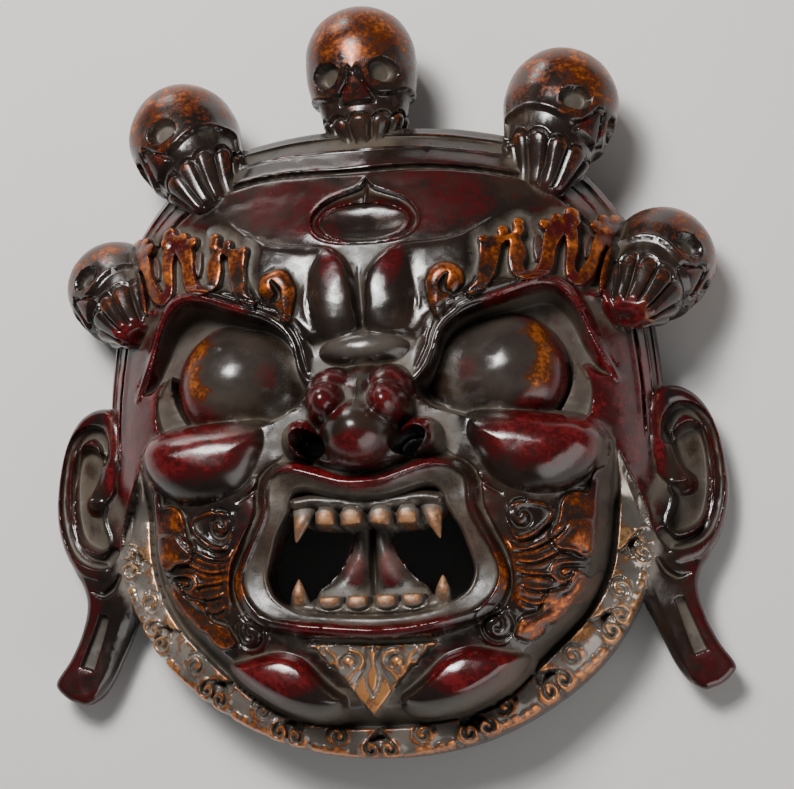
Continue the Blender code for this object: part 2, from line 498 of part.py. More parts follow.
def skull_shape(points):
    """A small skull with open sockets and a jaw of petal-shaped teeth, round its own origin."""
    share = np.arccos(np.clip(points[:, 2], -1, 1)) / math.pi
    angle = np.degrees(np.arctan2(points[:, 0], -points[:, 1]))
    ring = curve(SKULL["rings"], 8)
    y, wide, front, back = (np.interp(share, np.linspace(0, 1, len(ring)), ring[:, k]) for k in range(4))
    sine, cosine = np.sin(np.radians(angle)), np.cos(np.radians(angle))
    x, z = wide * sine, np.where(cosine > 0, front, back) * cosine
    around = np.abs(angle)
    push = -3.2 * ease((by_angle(around, SKULL["brow_line"]) - y) / 1.2) * (around < 128)
    bridge = 13 - 0.6 * np.abs(y + 31) - 0.6 * around
    push += 2.8 * ease(bridge / 2.4) * ((y < -12) & (y > -31)) - 2 * ease((-38 - y) / 20) * (around < 128)
    at, level, half, tall, deep = SKULL["socket"]
    push -= deep * ease(2.6 - 2.6 * ((around - at) / half) ** 2 - 2.6 * ((y - level) / tall) ** 2)
    inside = np.full(len(y), -9.0)
    for middle, half, top in SKULL["petals"]:
        shoulder = np.maximum(y - top + 6.5, 0) / 6.5
        inside = np.maximum(inside, (1 - np.hypot((around - middle) / half, shoulder)) * 0.42 * half)
    push += (1.7 * ease((inside - 0.5) / 4) - 1.9 * bump((inside - 0.2) / 1.5)) * (y > -68)
    out = np.hypot(x, z) + 1e-6
    return np.stack([x + push * x / out, y, z + push * z / out], 1)


def fang_shape(points, path, size):
    """A ball drawn out along a bent line, to a point at its end."""
    line = curve(path)
    share = np.arccos(np.clip(points[:, 2], -1, 1)) / math.pi
    spot = np.stack([np.interp(share, np.linspace(0, 1, len(line)), line[:, k]) for k in range(3)], 1)
    half = size * np.clip(np.interp(share, [0, 0.15, 1], [0, 1, 0.02]), 0, 1)
    round_it = points[:, :2] / (np.hypot(points[:, 0], points[:, 1])[:, None] + 1e-9)
    spot[:, 0] += half * round_it[:, 0]
    spot[:, 2] += 0.8 * half * round_it[:, 1]
    return spot


def hollow_shape(points):
    """The space behind the face, which keeps a wall inside the outline."""
    angle = np.degrees(np.arctan2(points[:, 1], points[:, 0]))
    flat = np.hypot(points[:, 0], points[:, 1])
    reach = flat**0.6 * (radius(angle) - HOLLOW["wall"])
    x, y = reach * np.cos(np.radians(angle)), HEAD["middle"] + reach * np.sin(np.radians(angle))
    return np.stack([x, y, np.sign(points[:, 2]) * np.abs(points[:, 2]) ** 0.75 * HOLLOW["depth"]], 1)


def add_object(name, bm, collection, mirror=False):
    if mirror:
        bmesh.ops.scale(bm, vec=(-1, 1, 1), verts=bm.verts)
    bmesh.ops.recalc_face_normals(bm, faces=bm.faces)
    mesh = bpy.data.meshes.new(name)
    bm.to_mesh(mesh)
    bm.free()
    obj = bpy.data.objects.new(name, mesh)
    collection.objects.link(obj)
    obj.parent = frame
    return obj


def move_points(verts, places):
    for vert, place in zip(verts, places * MM):
        vert.co = place


def add_slab(name, cells, shape, collection, mirror=False):
    """A grid shaped by a function that gives its front and its back, closed round the edge."""
    bm = bmesh.new()
    bmesh.ops.create_grid(bm, x_segments=cells[0], y_segments=cells[1], size=1)
    front, back = shape(np.array([vert.co for vert in bm.verts]))
    bmesh.ops.extrude_face_region(bm, geom=bm.verts[:] + bm.edges[:] + bm.faces[:], use_keep_orig=True)
    move_points(bm.verts, np.vstack([back, front]))
    return add_object(name, bm, collection, mirror)


def add_ball(name, segments, shape, collection, mirror=False):
    """A ball shaped by a function."""
    bm = bmesh.new()
    bmesh.ops.create_uvsphere(bm, u_segments=segments[0], v_segments=segments[1], radius=1)
    move_points(bm.verts, shape(np.array([vert.co for vert in bm.verts])))
    return add_object(name, bm, collection, mirror)


def thin_out(obj, triangles):
    """Fewer triangles, kept where the shape bends, after the steepest steps are eased."""
    obj.modifiers.new("Smooth", "SMOOTH").factor = 0.5
    obj.modifiers.new("Triangulate", "TRIANGULATE")
    faces = sum(len(face.vertices) - 2 for face in obj.data.polygons)
    obj.modifiers.new("Decimate", "DECIMATE").ratio = triangles / faces


def add_boolean(obj, name, operation, operand):
    boolean = obj.modifiers.new(name, "BOOLEAN")
    boolean.operation = operation
    if isinstance(operand, bpy.types.Collection):
        boolean.operand_type = "COLLECTION"
        boolean.collection = operand
    else:
        boolean.object = operand
    boolean.solver = "EXACT"


def add_collection(name, hidden):
    collection = bpy.data.collections.new(name)
    bpy.context.scene.collection.children.link(collection)
    collection.hide_render = hidden
    return collection


def add_skulls(collection):
    for number, (centre, (pitch, yaw, tilt), scale) in enumerate(SKULL["places"], 1):
        skull = add_ball(f"skull_{number}", SKULL["segments"], skull_shape, collection)
        thin_out(skull, SKULL["triangles"])
        skull.location = [value * MM for value in centre]
        skull.rotation_euler = math.radians(pitch), math.radians(yaw), math.radians(tilt)
        skull.scale = scale, scale, scale


def add_ears(collection):
    for side, mirror in (("right", False), ("left", True)):
        ear = add_slab(f"ear_{side}", EAR["segments"], ear_shape, collection, mirror)
        thin_out(ear, EAR["triangles"])


def add_fangs(collection):
    for number, (path, size) in enumerate(FANGS, 1):
        for side, mirror in (("right", False), ("left", True)):
            name = f"fang_{side}_{number}"
            add_ball(name, (7, 5), lambda points: fang_shape(points, path, size), collection, mirror)


def add_material(obj):
    material = bpy.data.materials.new("lacquered_wood")
    material.use_nodes = True
    surface = material.node_tree.nodes["Principled BSDF"]
    surface.inputs["Base Color"].default_value = LACQUER["color"]
    surface.inputs["Roughness"].default_value = LACQUER["roughness"]
    surface.inputs["Metallic"].default_value = 0.0
    obj.data.materials.append(material)


def centre_on_origin(obj):
    """Moves the frame so that the middle of the mask's box stands on the origin."""
    bpy.context.view_layer.update()
    evaluated = obj.evaluated_get(bpy.context.evaluated_depsgraph_get())
    corners = np.array([vert.co for vert in evaluated.data.vertices])
    middle = (corners.min(0) + corners.max(0)) / 2
    frame.location = -middle[0], -middle[1], 0


for thing in list(bpy.data.objects):
    bpy.data.objects.remove(thing)

mask_parts = add_collection("bhairab_mask", hidden=False)
fused = add_collection("fused_carvings", hidden=True)
cutters = add_collection("cutters", hidden=True)
frame = bpy.data.objects.new("mask_frame", None)
mask_parts.objects.link(frame)

mask = add_slab("mask", (HEAD["cells"], HEAD["cells"]), face_shape, mask_parts)
thin_out(mask, HEAD["triangles"])
add_skulls(fused)
add_ears(fused)
add_fangs(fused)
hollow = add_ball("hollow", HOLLOW["segments"], hollow_shape, cutters)
for helper in list(fused.objects) + list(cutters.objects):
    helper.display_type = "WIRE"
    helper.hide_render = True
add_boolean(mask, "Fuse carvings", "UNION", fused)
add_boolean(mask, "Hollow back", "DIFFERENCE", hollow)
add_material(mask)
centre_on_origin(mask)
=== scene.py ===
import math
import bpy
import numpy as np
from mathutils import Euler, Matrix, Vector


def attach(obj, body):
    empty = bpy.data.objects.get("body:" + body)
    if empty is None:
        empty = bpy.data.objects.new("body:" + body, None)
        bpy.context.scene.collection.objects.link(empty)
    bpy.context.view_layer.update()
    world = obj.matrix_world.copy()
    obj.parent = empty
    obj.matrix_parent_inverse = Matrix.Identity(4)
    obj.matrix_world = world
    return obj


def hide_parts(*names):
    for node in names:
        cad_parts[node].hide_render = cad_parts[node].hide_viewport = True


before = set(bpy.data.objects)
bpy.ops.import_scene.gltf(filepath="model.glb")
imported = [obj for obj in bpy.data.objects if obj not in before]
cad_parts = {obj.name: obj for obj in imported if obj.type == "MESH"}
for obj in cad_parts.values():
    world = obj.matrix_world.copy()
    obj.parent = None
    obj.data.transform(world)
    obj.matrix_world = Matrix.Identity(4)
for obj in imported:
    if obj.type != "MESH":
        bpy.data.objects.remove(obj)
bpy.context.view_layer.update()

bpy.ops.object.select_all(action="DESELECT")

# The carving is worked out in millimetres: x across the face, y up it, z out of it from the back rim.
# It is drawn for one half of the face, and x is then the distance from the middle line.
mm = 0.001
farAway = 1000.0
quality = {
    "faceCells": 620, "triangles": 196000,
    "fang": (32, 24), "hollow": (160, 90), "smoothing": 0.5, "smoothRounds": 2, "sharpEdge": 50,
}


# ---- small helpers for shaping

def ease(t):
    t = np.clip(t, 0, 1)
    return t * t * (3 - 2 * t)


def bump(t):
    return np.clip(1 - t * t, 0, 1) ** 2


def arch(t):
    return np.sqrt(np.clip(1 - t * t, 0, 1))


def byStep(value, steps):
    return np.interp(value, *np.array(steps, float).T)


def curve(points, steps=6, closed=False):
    p = np.array(points, float)
    ends = (p[-1:], p[:2]) if closed else (2 * p[:1] - p[1:2], 2 * p[-1:] - p[-2:-1])
    p = np.vstack([ends[0], p, ends[1]])
    t = np.arange(steps)[:, None] / steps
    runs = []
    for a, b, c, d in zip(p[:-3], p[1:-2], p[2:-1], p[3:]):
        bend = (2 * a - 5 * b + 4 * c - d) * t**2
        runs.append(0.5 * (2 * b + (c - a) * t + bend + (3 * b - a - 3 * c + d) * t**3))
    return np.vstack(runs + ([] if closed else [p[-2:-1]]))


def inReach(x, y, path, reach):
    low, high = path[:, :2].min(0) - reach, path[:, :2].max(0) + reach
    return np.nonzero((x > low[0]) & (x < high[0]) & (y > low[1]) & (y < high[1]))


def nearest(x, y, path, reach=20.0):
    # distance to a path, share of its length passed there, and the side, for the points in reach
    gap, share, side = np.full(x.shape, farAway), np.zeros(x.shape), np.zeros(x.shape)
    near = inReach(x, y, path, reach)
    px, py = x[near], y[near]
    best, passed, hand = np.full(px.shape, farAway**2), np.zeros(px.shape), np.zeros(px.shape)
    runs = np.hypot(*np.diff(path[:, :2], axis=0).T)
    starts = np.concatenate([[0], np.cumsum(runs)])
    for (ax, ay), (bx, by), run, start in zip(path[:-1, :2], path[1:, :2], runs, starts):
        sx, sy, dx, dy = bx - ax, by - ay, px - ax, py - ay
        t = np.clip((dx * sx + dy * sy) / (run * run + 1e-9), 0, 1)
        away = (dx - t * sx) ** 2 + (dy - t * sy) ** 2
        closer = away < best
        best[closer], passed[closer] = away[closer], (start + t * run)[closer] / starts[-1]
        hand[closer] = np.sign(sx * dy - sy * dx)[closer]
    gap[near], share[near], side[near] = np.sqrt(best), passed, hand
    return gap, share, side


def depthIn(x, y, shape, reach=20.0):
    # distance inside a closed outline, negative outside it
    near = inReach(x, y, shape, reach)
    px, py = x[near], y[near]
    odd = np.zeros(px.shape, bool)
    for (ax, ay), (bx, by) in zip(shape[:, :2], np.roll(shape[:, :2], -1, axis=0)):
        if ay != by:
            odd ^= ((ay > py) != (by > py)) & (px < (bx - ax) * (py - ay) / (by - ay) + ax)
    gap = nearest(px, py, np.vstack([shape, shape[:1]]), reach)[0]
    deep = np.full(x.shape, -farAway)
    deep[near] = np.where(odd, gap, -gap)
    return deep


def bothSides(half):
    half = np.array(half)
    return np.vstack([half, half[::-1][1:-1] * [-1, 1]])


def turned(x, y, centre, degrees):
    c, s = math.cos(math.radians(degrees)), math.sin(math.radians(degrees))
    return (x - centre[0]) * c + (y - centre[1]) * s, (y - centre[1]) * c - (x - centre[0]) * s


def oval(x, y, centre, radii, turn=0):
    # 1 in the middle, 0 on the oval's edge, negative outside
    u, v = turned(x, y, centre, turn)
    return 1 - (u / radii[0]) ** 2 - (v / radii[1]) ** 2


def swell(z, x, y, centre, radii, top, foot, turn=0, blend=1.0):
    # an oval dome that runs softly into what lies round it
    q = oval(x, y, centre, radii, turn)
    cap = foot + (top - foot) * np.where(q > 0, np.clip(q, 0, 1) ** 0.5, 1.2 * q)
    share = np.clip(0.5 + 0.5 * (cap - z) / blend, 0, 1)
    z[:] = np.where(q > -0.6, z * (1 - share) + cap * share + blend * share * (1 - share), z)


def stroke(z, x, y, points, width, height):
    # a rounded ridge along a line, or a groove where the height is negative
    gap, share, _ = nearest(x, y, curve(points), np.max(width) + 1)
    wide = np.interp(share, np.linspace(0, 1, np.size(width)), np.atleast_1d(width))
    z += np.interp(share, np.linspace(0, 1, np.size(height)), np.atleast_1d(height)) * bump(gap / wide)


def cushion(z, x, y, pad):
    # a swelling inside a closed outline, with a rolled edge and a crown: its middle, radii, turn and height
    deep = depthIn(x, y, curve(pad["outline"], 3, True), 6)
    t = 1 - np.clip(deep / pad["roll"], 0, 1)
    middle, radii, turn, height = pad["crown"]
    foot, blend = pad["foot"], pad["blend"]
    level = pad["top"] - foot - height * (1 - np.clip(oval(x, y, middle, radii, turn), -0.6, 1))
    cap = np.where(deep > 0, foot + level * np.sqrt(1 - t * t), foot + 2 * deep)
    share = np.clip(0.5 + 0.5 * (cap - z) / blend, 0, 1)
    z[:] = np.where(deep > -4, z * (1 - share) + cap * share + blend * share * (1 - share), z)


def inStrokes(x, y, lines, reach=9.0):
    # distance inside a set of strokes, whose points give x, y and half the width; negative outside them
    deep = np.full(x.shape, -farAway)
    for line in lines:
        path = curve(line, 4)
        passed = np.concatenate([[0], np.cumsum(np.hypot(*np.diff(path[:, :2], axis=0).T))])
        gap, share, _ = nearest(x, y, path, reach + path[:, 2].max())
        deep = np.maximum(deep, np.interp(share * passed[-1], passed, path[:, 2]) - gap)
    return deep


def roundTops(x, y, spots):
    # height of a group of round knobs, each a share of its own size, and how far inside them a point is
    top, deep = np.zeros(x.shape), np.full(x.shape, -farAway)
    for cx, cy, size in spots:
        away = np.hypot(x - cx, y - cy)
        top = np.maximum(top, arch(away / size))
        deep = np.maximum(deep, size - away)
    return top, deep


def spiral(x, y, centre, size, turns, start, hand, tail=0.0):
    # distance to a spiral line that winds inwards from the size given
    t = np.linspace(-tail, turns, int(26 * (turns + tail)))
    angle = np.radians(start + hand * 360 * t)
    reach = size * (1 - 0.76 * np.clip(t, 0, None) / turns) * (1 - 0.35 * np.clip(-t, 0, None))
    path = np.stack([centre[0] + reach * np.cos(angle), centre[1] + reach * np.sin(angle)], 1)
    return nearest(x, y, path, 4)[0]


# ---- head and its rim

headShape = {
    "outline": [(0, 150.5), (60, 148.5), (112, 134), (146, 100), (162, 58), (171, -12), (167, -82),
                (155, -136), (122, -183), (64, -218.5), (0, -229.5)],
    "middle": -40.0,
    "edge": [(-90, 54), (-45, 46), (-12, 31), (8, 28), (30, 31), (50, 41), (90, 62)],
    "dome": 112.0,
}
outline = curve([(-60, 148.5)] + headShape["outline"] + [(-64, -218.5)], 10)[10:-10]
bearings = np.degrees(np.arctan2(outline[:, 1] - headShape["middle"], outline[:, 0]))
reaches = np.hypot(outline[:, 0], outline[:, 1] - headShape["middle"])
outlineLength = np.hypot(*np.diff(outline, axis=0).T).sum()


def folded(angle):
    angle = (angle + 180) % 360 - 180
    return np.where(angle > 90, 180 - angle, np.where(angle < -90, -180 - angle, angle))


def radius(angle):
    return np.interp(folded(angle), bearings[::-1], reaches[::-1])


def bearing(x, y):
    return folded(np.degrees(np.arctan2(y - headShape["middle"], x)))


def dome(x, y):
    angle = bearing(x, y)
    edge = byStep(angle, headShape["edge"])
    share = np.clip(np.hypot(x, y - headShape["middle"]) / radius(angle), 0, 1)
    return edge + (headShape["dome"] - edge) * (1 - share**3.5) ** 0.87


crownBand = {
    "width": 32.0, "share": [(-8, 0.33), (5, 0.36), (30, 0.42), (45, 0.72), (62, 0.95), (90, 1.04)],
}


def bandShare(x, y, rim):
    return rim / (crownBand["width"] * byStep(bearing(x, y), crownBand["share"]))


def carveBand(z, x, y, rim):
    t = bandShare(x, y, rim)
    steps = 0.9 * bump((t - 0.2) / 0.035) - 2.0 * ease((t - 0.22) / 0.03) + 2.0 * ease((t - 0.5) / 0.03)
    steps += 1.6 * bump((t - 0.545) / 0.05) + 1.0 * ease((t - 0.62) / 0.3) * ease((1 - t) / 0.06)
    steps += 1.5 * ease((t - 1.05) / 0.1) * ease((1.5 - t) / 0.4) - 5.0 * bump((t - 1.03) / 0.07)
    z += steps * ease((bearing(x, y) + 3) / 8)


# ---- beard fringe: a ribbon with pairs of facing hooks, single spirals and leaves, repeated along the rim

beardFringe = {
    "inner": [(142, -56), (142, -80), (137, -120), (122, -150), (92, -181), (62, -203), (24, -211),
              (0, -212)],
    "tail": [(143, -56), (150, -70), (157, -86), (160, -98), (165, -108)],
    "rise": 14.0, "fall": 27.0, "valley": 6.0, "tailEnd": 368, "curlsFrom": 356,
    "first": 370.0, "pitch": 53.2, "repeats": 5, "ends": [(329, 1), (500, 0.95), (596, 0.8)],
    "hook": [(7.5, 9.2), (4.6, 8.4), (1.4, 6.6), (-1.4, 4.2), (-2.4, 1.2), (-1.2, -1.4), (1.2, -1.6),
             (2.2, 0.2)],
    "hookSize": 6.9, "hooks": [(0, 6.6), (13, 6.6)], "middle": 6.5, "lean": 8.0,
    "recess": [(-2, 2.6), (2, 1.8), (5, 0.8), (8, 2), (11.5, 6), (14, 6.6), (17.5, 4.2), (22.5, 0)],
    "single": (39.5, 14.2), "singleSize": 7.3,
    "leaves": [(25.5, 3.6, 3.6), (31.5, 3.4, 4.2), (38, 3.4, 4.2), (44, 4.2, 3.4)], "notch": 7.0,
}


def fringePattern(along, rim):
    # height of the curls over the plain ribbon, from the way along the rim and the way in from it
    f = beardFringe
    rise = np.zeros(along.shape)
    scale = byStep(along, f["ends"])
    for number in range(f["repeats"]):
        last = number == f["repeats"] - 1
        s = along - (outlineLength - f["middle"] if last else f["first"] + f["pitch"] * number)
        near = np.nonzero(np.abs(s - 18) < 36)
        u, d = s[near], rim[near] / scale[near]
        part, hooks = np.zeros(u.shape), np.full(u.shape, farAway)
        for (at, inset), hand in zip(f["hooks"], (1, -1)):
            v, w = (u - at) * hand, d - inset
            away = np.hypot(v, w)
            hooks = np.minimum(hooks, away - f["hookSize"])
            gap, share, _ = nearest(v, w, curve(f["hook"], 4), 4)
            part += 2.0 * arch(away / (f["hookSize"] + 1)) + 1.2 * bump((away - 5) / 2)
            part -= 3.6 * ease((1.35 - 0.5 * share - gap) / 1.2 + 0.5)
        mid = u - f["middle"] - f["lean"] * np.clip((d - 9) / 13, 0, 1) * (not last)
        mouth = byStep(d, f["recess"]) - np.abs(mid)
        part -= 5.4 * ease(np.minimum(mouth, np.where(d < 5, 9, hooks + 1.2)) / 1.2 + 0.3) * (d < 22)
        lobes = hooks
        if not last:
            top, deep = roundTops(u, d, f["leaves"])
            outer = ease((7.5 - d) / 2) * ease((u - 20.5) / 2) * ease((47.5 - u) / 2)
            part += outer * (1.8 * top - 2.6 * ease(-deep / 1.0))
            lobes = np.minimum(hooks, -deep)
            v, w = u - f["single"][0], d - f["single"][1]
            away = np.hypot(v, w)
            coil = spiral(v, w, (0, 0), f["singleSize"], 1.0, 154, -1, 0.05)
            part += 1.5 * arch(away / (1.25 * f["singleSize"])) - 2.9 * ease((1.25 - coil) / 1.2 + 0.5)
        # notches between the lobes, out to the rim
        part -= (f["notch"] * ease(lobes / 1.3) * ease((5 - d) / 2)
                 * ease((u + 7) / 1.5) * ease((46.5 - u) / 1.5))
        rise[near] += part
    return rise


def carveFringe(z, x, y, rim, along):
    f = beardFringe
    edge = byStep(bearing(x, y), headShape["edge"])
    inner, tail = curve(f["inner"]), curve(f["tail"])
    gap, _, side = nearest(x, y, inner, 60)
    outside = (side > 0) & (y < f["tail"][0][1])
    ribbon = (edge + f["rise"] * (1 - np.clip(gap / f["fall"], 0, 1))
              + 1.6 * bump((gap - 9) / 9) - 1.2 * bump(gap / 1.3))
    behind, passed, beyond = nearest(x, y, tail, 60)
    pastTail = (beyond > 0) & (y > f["tail"][-1][1] + 6)
    wall = z - 9 * ease(behind / 6) * ease((f["tail"][0][1] - y) / 30)
    steps = np.abs(np.sin(math.pi * 6.0 * passed))
    lobes = (2.4 * steps - 1.8) * ease((3.2 - behind) / 2.4) + 0.8 * bump((behind - 4.5) / 2.5)
    ribbon += np.where((along < f["tailEnd"]) & (behind < 9), lobes * ease((f["tailEnd"] - along) / 4), 0)
    ribbon += fringePattern(along, rim) * ease((along - f["curlsFrom"]) / 6)
    level = ribbon - 5 * bump(rim / 2.2)
    climb = ease((gap - 0.8) / 12)
    valley = (edge + f["rise"] - f["valley"]) * (1 - climb) + z * climb
    inside = (side < 0) & (gap < 13) & (y < f["tail"][0][1] + 6)
    begun = ease((f["tail"][0][1] + 4 - y) / 34)
    made = np.where(outside, np.where(pastTail, wall, level), np.where(inside, np.minimum(valley, z), z))
    z += begun * (made - z)


# ---- forehead

thirdEye = {
    "rim": [(0, 111), (3.5, 106), (10, 103), (18, 100), (25, 95.5), (30, 89), (32, 83), (30.5, 77),
            (26.5, 72.8), (20, 70.2), (10, 68.7), (0, 68.2)],
    "middle": (0, 82), "radii": (26.5, 13.2),
}
frownPlate = {
    "outline": [(1.3, 12), (1.6, 30), (2.3, 42), (4, 50), (7.5, 56.5), (12, 61.5), (18, 65.3), (26, 67.3),
                (36, 68.2), (48, 69.6), (58, 72.2), (66, 76.5), (76, 83), (92, 92), (110, 60), (100, 42),
                (60, 27), (40, 18), (30, 8)],
    "rise": 4.2, "roll": 7.0, "lobe": (13.5, 37), "radii": (18, 32), "parting": [(0, 54), (0, 40), (0, 14)],
    "scratch": [(23, 16), (27, 30), (25.5, 46)], "scratches": (0, 3.4, 6.8),
}


def carveForehead(z, x, y):
    deep = depthIn(x, y, bothSides(curve(thirdEye["rim"], 5)))
    upper = 0.25 + 0.75 * ease((y - 68) / 32)
    z += 1.0 * bump(np.minimum(deep, 0) / 2.2) * (deep < 0) - 5.4 * upper * ease(deep / 1.3)
    z += 2.4 * ease((deep - 1.5) / 7)
    # the ridge from the hollow's tip to the eye
    z += 1.5 * bump(x / 1.6) * ease((y - 92) / 5) * ease(deep / 2)
    q = oval(x, y, thirdEye["middle"], thirdEye["radii"])
    z += 1.3 * np.exp(-((q / 0.075) ** 2)) * (q < 0.11) - 5.4 * np.clip(q, 0, 1) ** 0.7
    p = frownPlate
    deep = depthIn(x, y, curve(p["outline"], 3, True), 8)
    t = 1 - np.clip(deep / p["roll"], 0, 1)
    z += p["rise"] * np.where(deep > 0, np.sqrt(1 - t * t), 0) * ease((86 - x) / 20) * ease((y - 6) / 8)
    q = oval(x, y, p["lobe"], p["radii"])
    lobe = 5.6 * np.clip(q, 0, 1) ** 0.8 * ease(deep / 4)
    z += lobe - 1.6 * bump((x - 31) / 9) * bump((y - 36) / 26)
    stroke(z, x, y, p["parting"], 2.4, [-0.2, -3, -3.5])
    for shift in p["scratches"]:
        stroke(z, x, y, [(px + shift, py) for px, py in p["scratch"]], 1.4, [0, -0.55, 0])


# ---- eyes

eyeShape = {
    "hollow": [(31, -18), (36.5, -8), (39.5, 2), (42, 11), (48, 19), (57, 24.5), (68, 28), (79, 31.5),
               (90, 35.5), (99, 38), (106, 38.5), (112.5, 36), (119, 30), (124.5, 21.5), (129, 11),
               (135, 0), (141.5, -12), (133, -11.5), (126, -8), (129, -18), (128.5, -30), (124, -38),
               (100, -44), (70, -40), (48, -34), (36, -27)],
    "lid": [(27, -19, 115), (32.6, -14, 114), (37.2, -7, 114), (39.8, 1, 114), (41.5, 8, 113.5),
            (45, 15.2, 113), (51, 21.2, 112), (59, 25.6, 111), (70, 29.2, 110), (81, 32.8, 108),
            (91, 36.6, 105.5), (99, 39, 103), (106, 39.8, 100), (112.5, 38, 97), (118.5, 33, 92.5),
            (123.5, 26, 87.5), (127.5, 17.5, 83), (132, 8, 78.5), (137, -1, 73.5), (143.5, -13, 66)],
    "middle": [(32, -9), (36, 2), (38.5, 11), (43, 19), (51, 25.5), (61, 29.8), (72, 33.2), (83, 37),
               (93, 40.8), (101, 43), (108, 43.2), (115.5, 40.5), (121.5, 34.8), (127, 26.5), (131.5, 17),
               (137, 6.5), (143.5, -5)],
    "outer": [(29, 2), (33.5, 12), (38.5, 20.5), (46, 26.5), (56, 31.2), (67, 35), (79, 39), (90, 43.6),
              (99, 46.2)],
    "lower": [(31, -23.5), (38, -26.5), (46, -28.3), (58, -29.6), (70, -29), (82, -29.5), (92, -31)],
    "under": ((71, -8), (36, 31), 101, 86),
    "ball": (80.5, -9), "radii": (36.5, 37), "top": 107.5, "foot": 72,
    "pupil": (83, -2),
    "white": [(117.5, -2), (122.5, -4.5), (127, -11), (129.3, -20), (128.5, -30), (125, -37), (114, -37),
              (108, -36), (113, -27), (117, -18), (118.5, -9)],
}


def carveEyes(z, x, y):
    e = eyeShape
    hollow = depthIn(x, y, curve(e["hollow"], 4, True))
    floor = np.minimum(z, 98 - 0.32 * np.maximum(x - 70, 0)) - 12 * ease(hollow / 6)
    sink = ease((hollow + 0.8) / 1.6)
    z[:] = z * (1 - sink) + floor * sink
    lid = curve(e["lid"], 5)
    gap, share, side = nearest(x, y, lid)
    height = np.interp(share, np.linspace(0, 1, len(lid)), lid[:, 2])
    reach = np.interp(share, [0, 0.12, 0.45, 0.7, 0.85, 1], [5, 8, 8.5, 6, 4.5, 2])
    outwards, inwards = 1 - ease((gap / reach - 0.35) / 1.0), ease((1.9 - gap) / 1.4)
    hold = np.where(side > 0, outwards, inwards) * ease((1 - share) * 14)
    z[:] = z * (1 - hold) + (height - 0.5) * hold
    z += 1.5 * bump((gap - 1.2 * (side > 0)) / 2.1) * ease(share * 12)
    stroke(z, x, y, e["middle"], 1.5, [-0.9, -1.1, -1.1, -1.0])
    stroke(z, x, y, [(px - 0.6, py + 1.9) for px, py in e["middle"]], 1.5, [0.4, 1.0, 1.0, 0.8])
    stroke(z, x, y, e["outer"], 1.5, [-0.3, -1.2, -1.2, -0.4])
    stroke(z, x, y, e["lower"], [2, 2.4, 2, 1.5], [2, 3, 3, 1])
    swell(z, x, y, *e["under"], blend=5)
    swell(z, x, y, e["ball"], e["radii"], e["top"], e["foot"], blend=4)
    deep = depthIn(x, y, curve(e["white"], 4, True))
    rim = 1.8 * bump((deep - 0.8) / 1.8) * (y > -14)
    slope = ease((deep + 0.4) / 1.2) * (82 - 0.2 * (x - 118) + 0.25 * (y + 20) + rim - z)
    z += np.maximum(slope, 0)


# ---- nose, cheeks and chin

noseLumps = [  # centre, radii, top, foot, turn, blend
    ((0, -38), (33, 36), 139, 96, 0, 8),
    ((0, 4), (29.5, 13.5), 121.5, 103, 0, 1.0),
    ((16, -21.5), (15.5, 15.5), 136, 112, 0, 0.8),
    ((17.2, -31.5), (13.2, 14.2), 154, 120, 0, 0.8),
    ((34, -49.5), (13.5, 12.5), 140, 104, 10, 1.5),
    ((0, -60), (29, 11), 139, 108, 0, 5),
    ((0, -48.5), (22.5, 21.5), 156, 120, 0, 4.0),
]
nostril = {"middle": (28.6, -53.2), "radii": (10.4, 6.6), "turn": 26, "floor": 98}
cheekBag = {
    "outline": [(57, -60), (52.5, -50), (52.5, -41), (56, -34.5), (64, -31.6), (76, -31.2), (92, -32.5),
                (109, -35.5), (122, -38.5), (130.5, -43), (135, -50), (135, -56), (132.5, -63),
                (127.5, -69.5), (121, -75), (113, -80), (103, -83.8), (93.5, -85), (83, -84.3), (74, -81.2),
                (65, -74)],
    "crown": ((90, -52), (50, 38), -8, 7), "roll": 23.0, "top": 121.0, "foot": 90.0, "blend": 1.0,
}
chinPad = {
    "outline": [(13, -194), (20, -187), (27, -180), (35, -171), (42, -166.5), (54, -163.5), (66, -165.5),
                (77, -169), (86, -171.5), (88, -176), (82, -184), (72, -192), (58, -200), (42, -205.5),
                (26, -207), (15, -203)],
    "crown": ((47, -184), (44, 26), 12, 12), "roll": 12.0, "top": 104.0, "foot": 68.0, "blend": 3.0,
}
noseFolds = [  # line, width, heights along it
    ([(42, -40.5), (40.8, -46), (41.5, -52), (38, -58.5)], 1.5, [0, -1.6, -1.6, 0]),
    ([(0, -13), (0, -26), (0, -36)], 1.7, [0.4, 1.2, 0.2]),
]
bagFolds = [
    ([(47, -57), (53, -63), (60, -70), (68, -77.5), (76, -82.5)], 1.8, [-1.2, -2.4, -2.4, -0.8]),
    ([(52, -59), (59, -66.5), (67, -74), (75, -80)], 1.5, [0.2, 1.1, 1.2, 0.4]),
]


def carveNose(z, x, y):
    for lump in noseLumps:
        swell(z, x, y, *lump)
    q = oval(x, y, nostril["middle"], nostril["radii"], nostril["turn"])
    z += 1.3 * bump((q + 0.3) / 0.4)
    hole = ease(q * 3.5)
    z += hole * np.minimum(nostril["floor"] - z, 0)
    for fold in noseFolds:
        stroke(z, x, y, *fold)


def carveCheeks(z, x, y):
    for pad in (cheekBag, chinPad):
        cushion(z, x, y, pad)
    for fold in bagFolds:
        stroke(z, x, y, *fold)


# ---- mouth

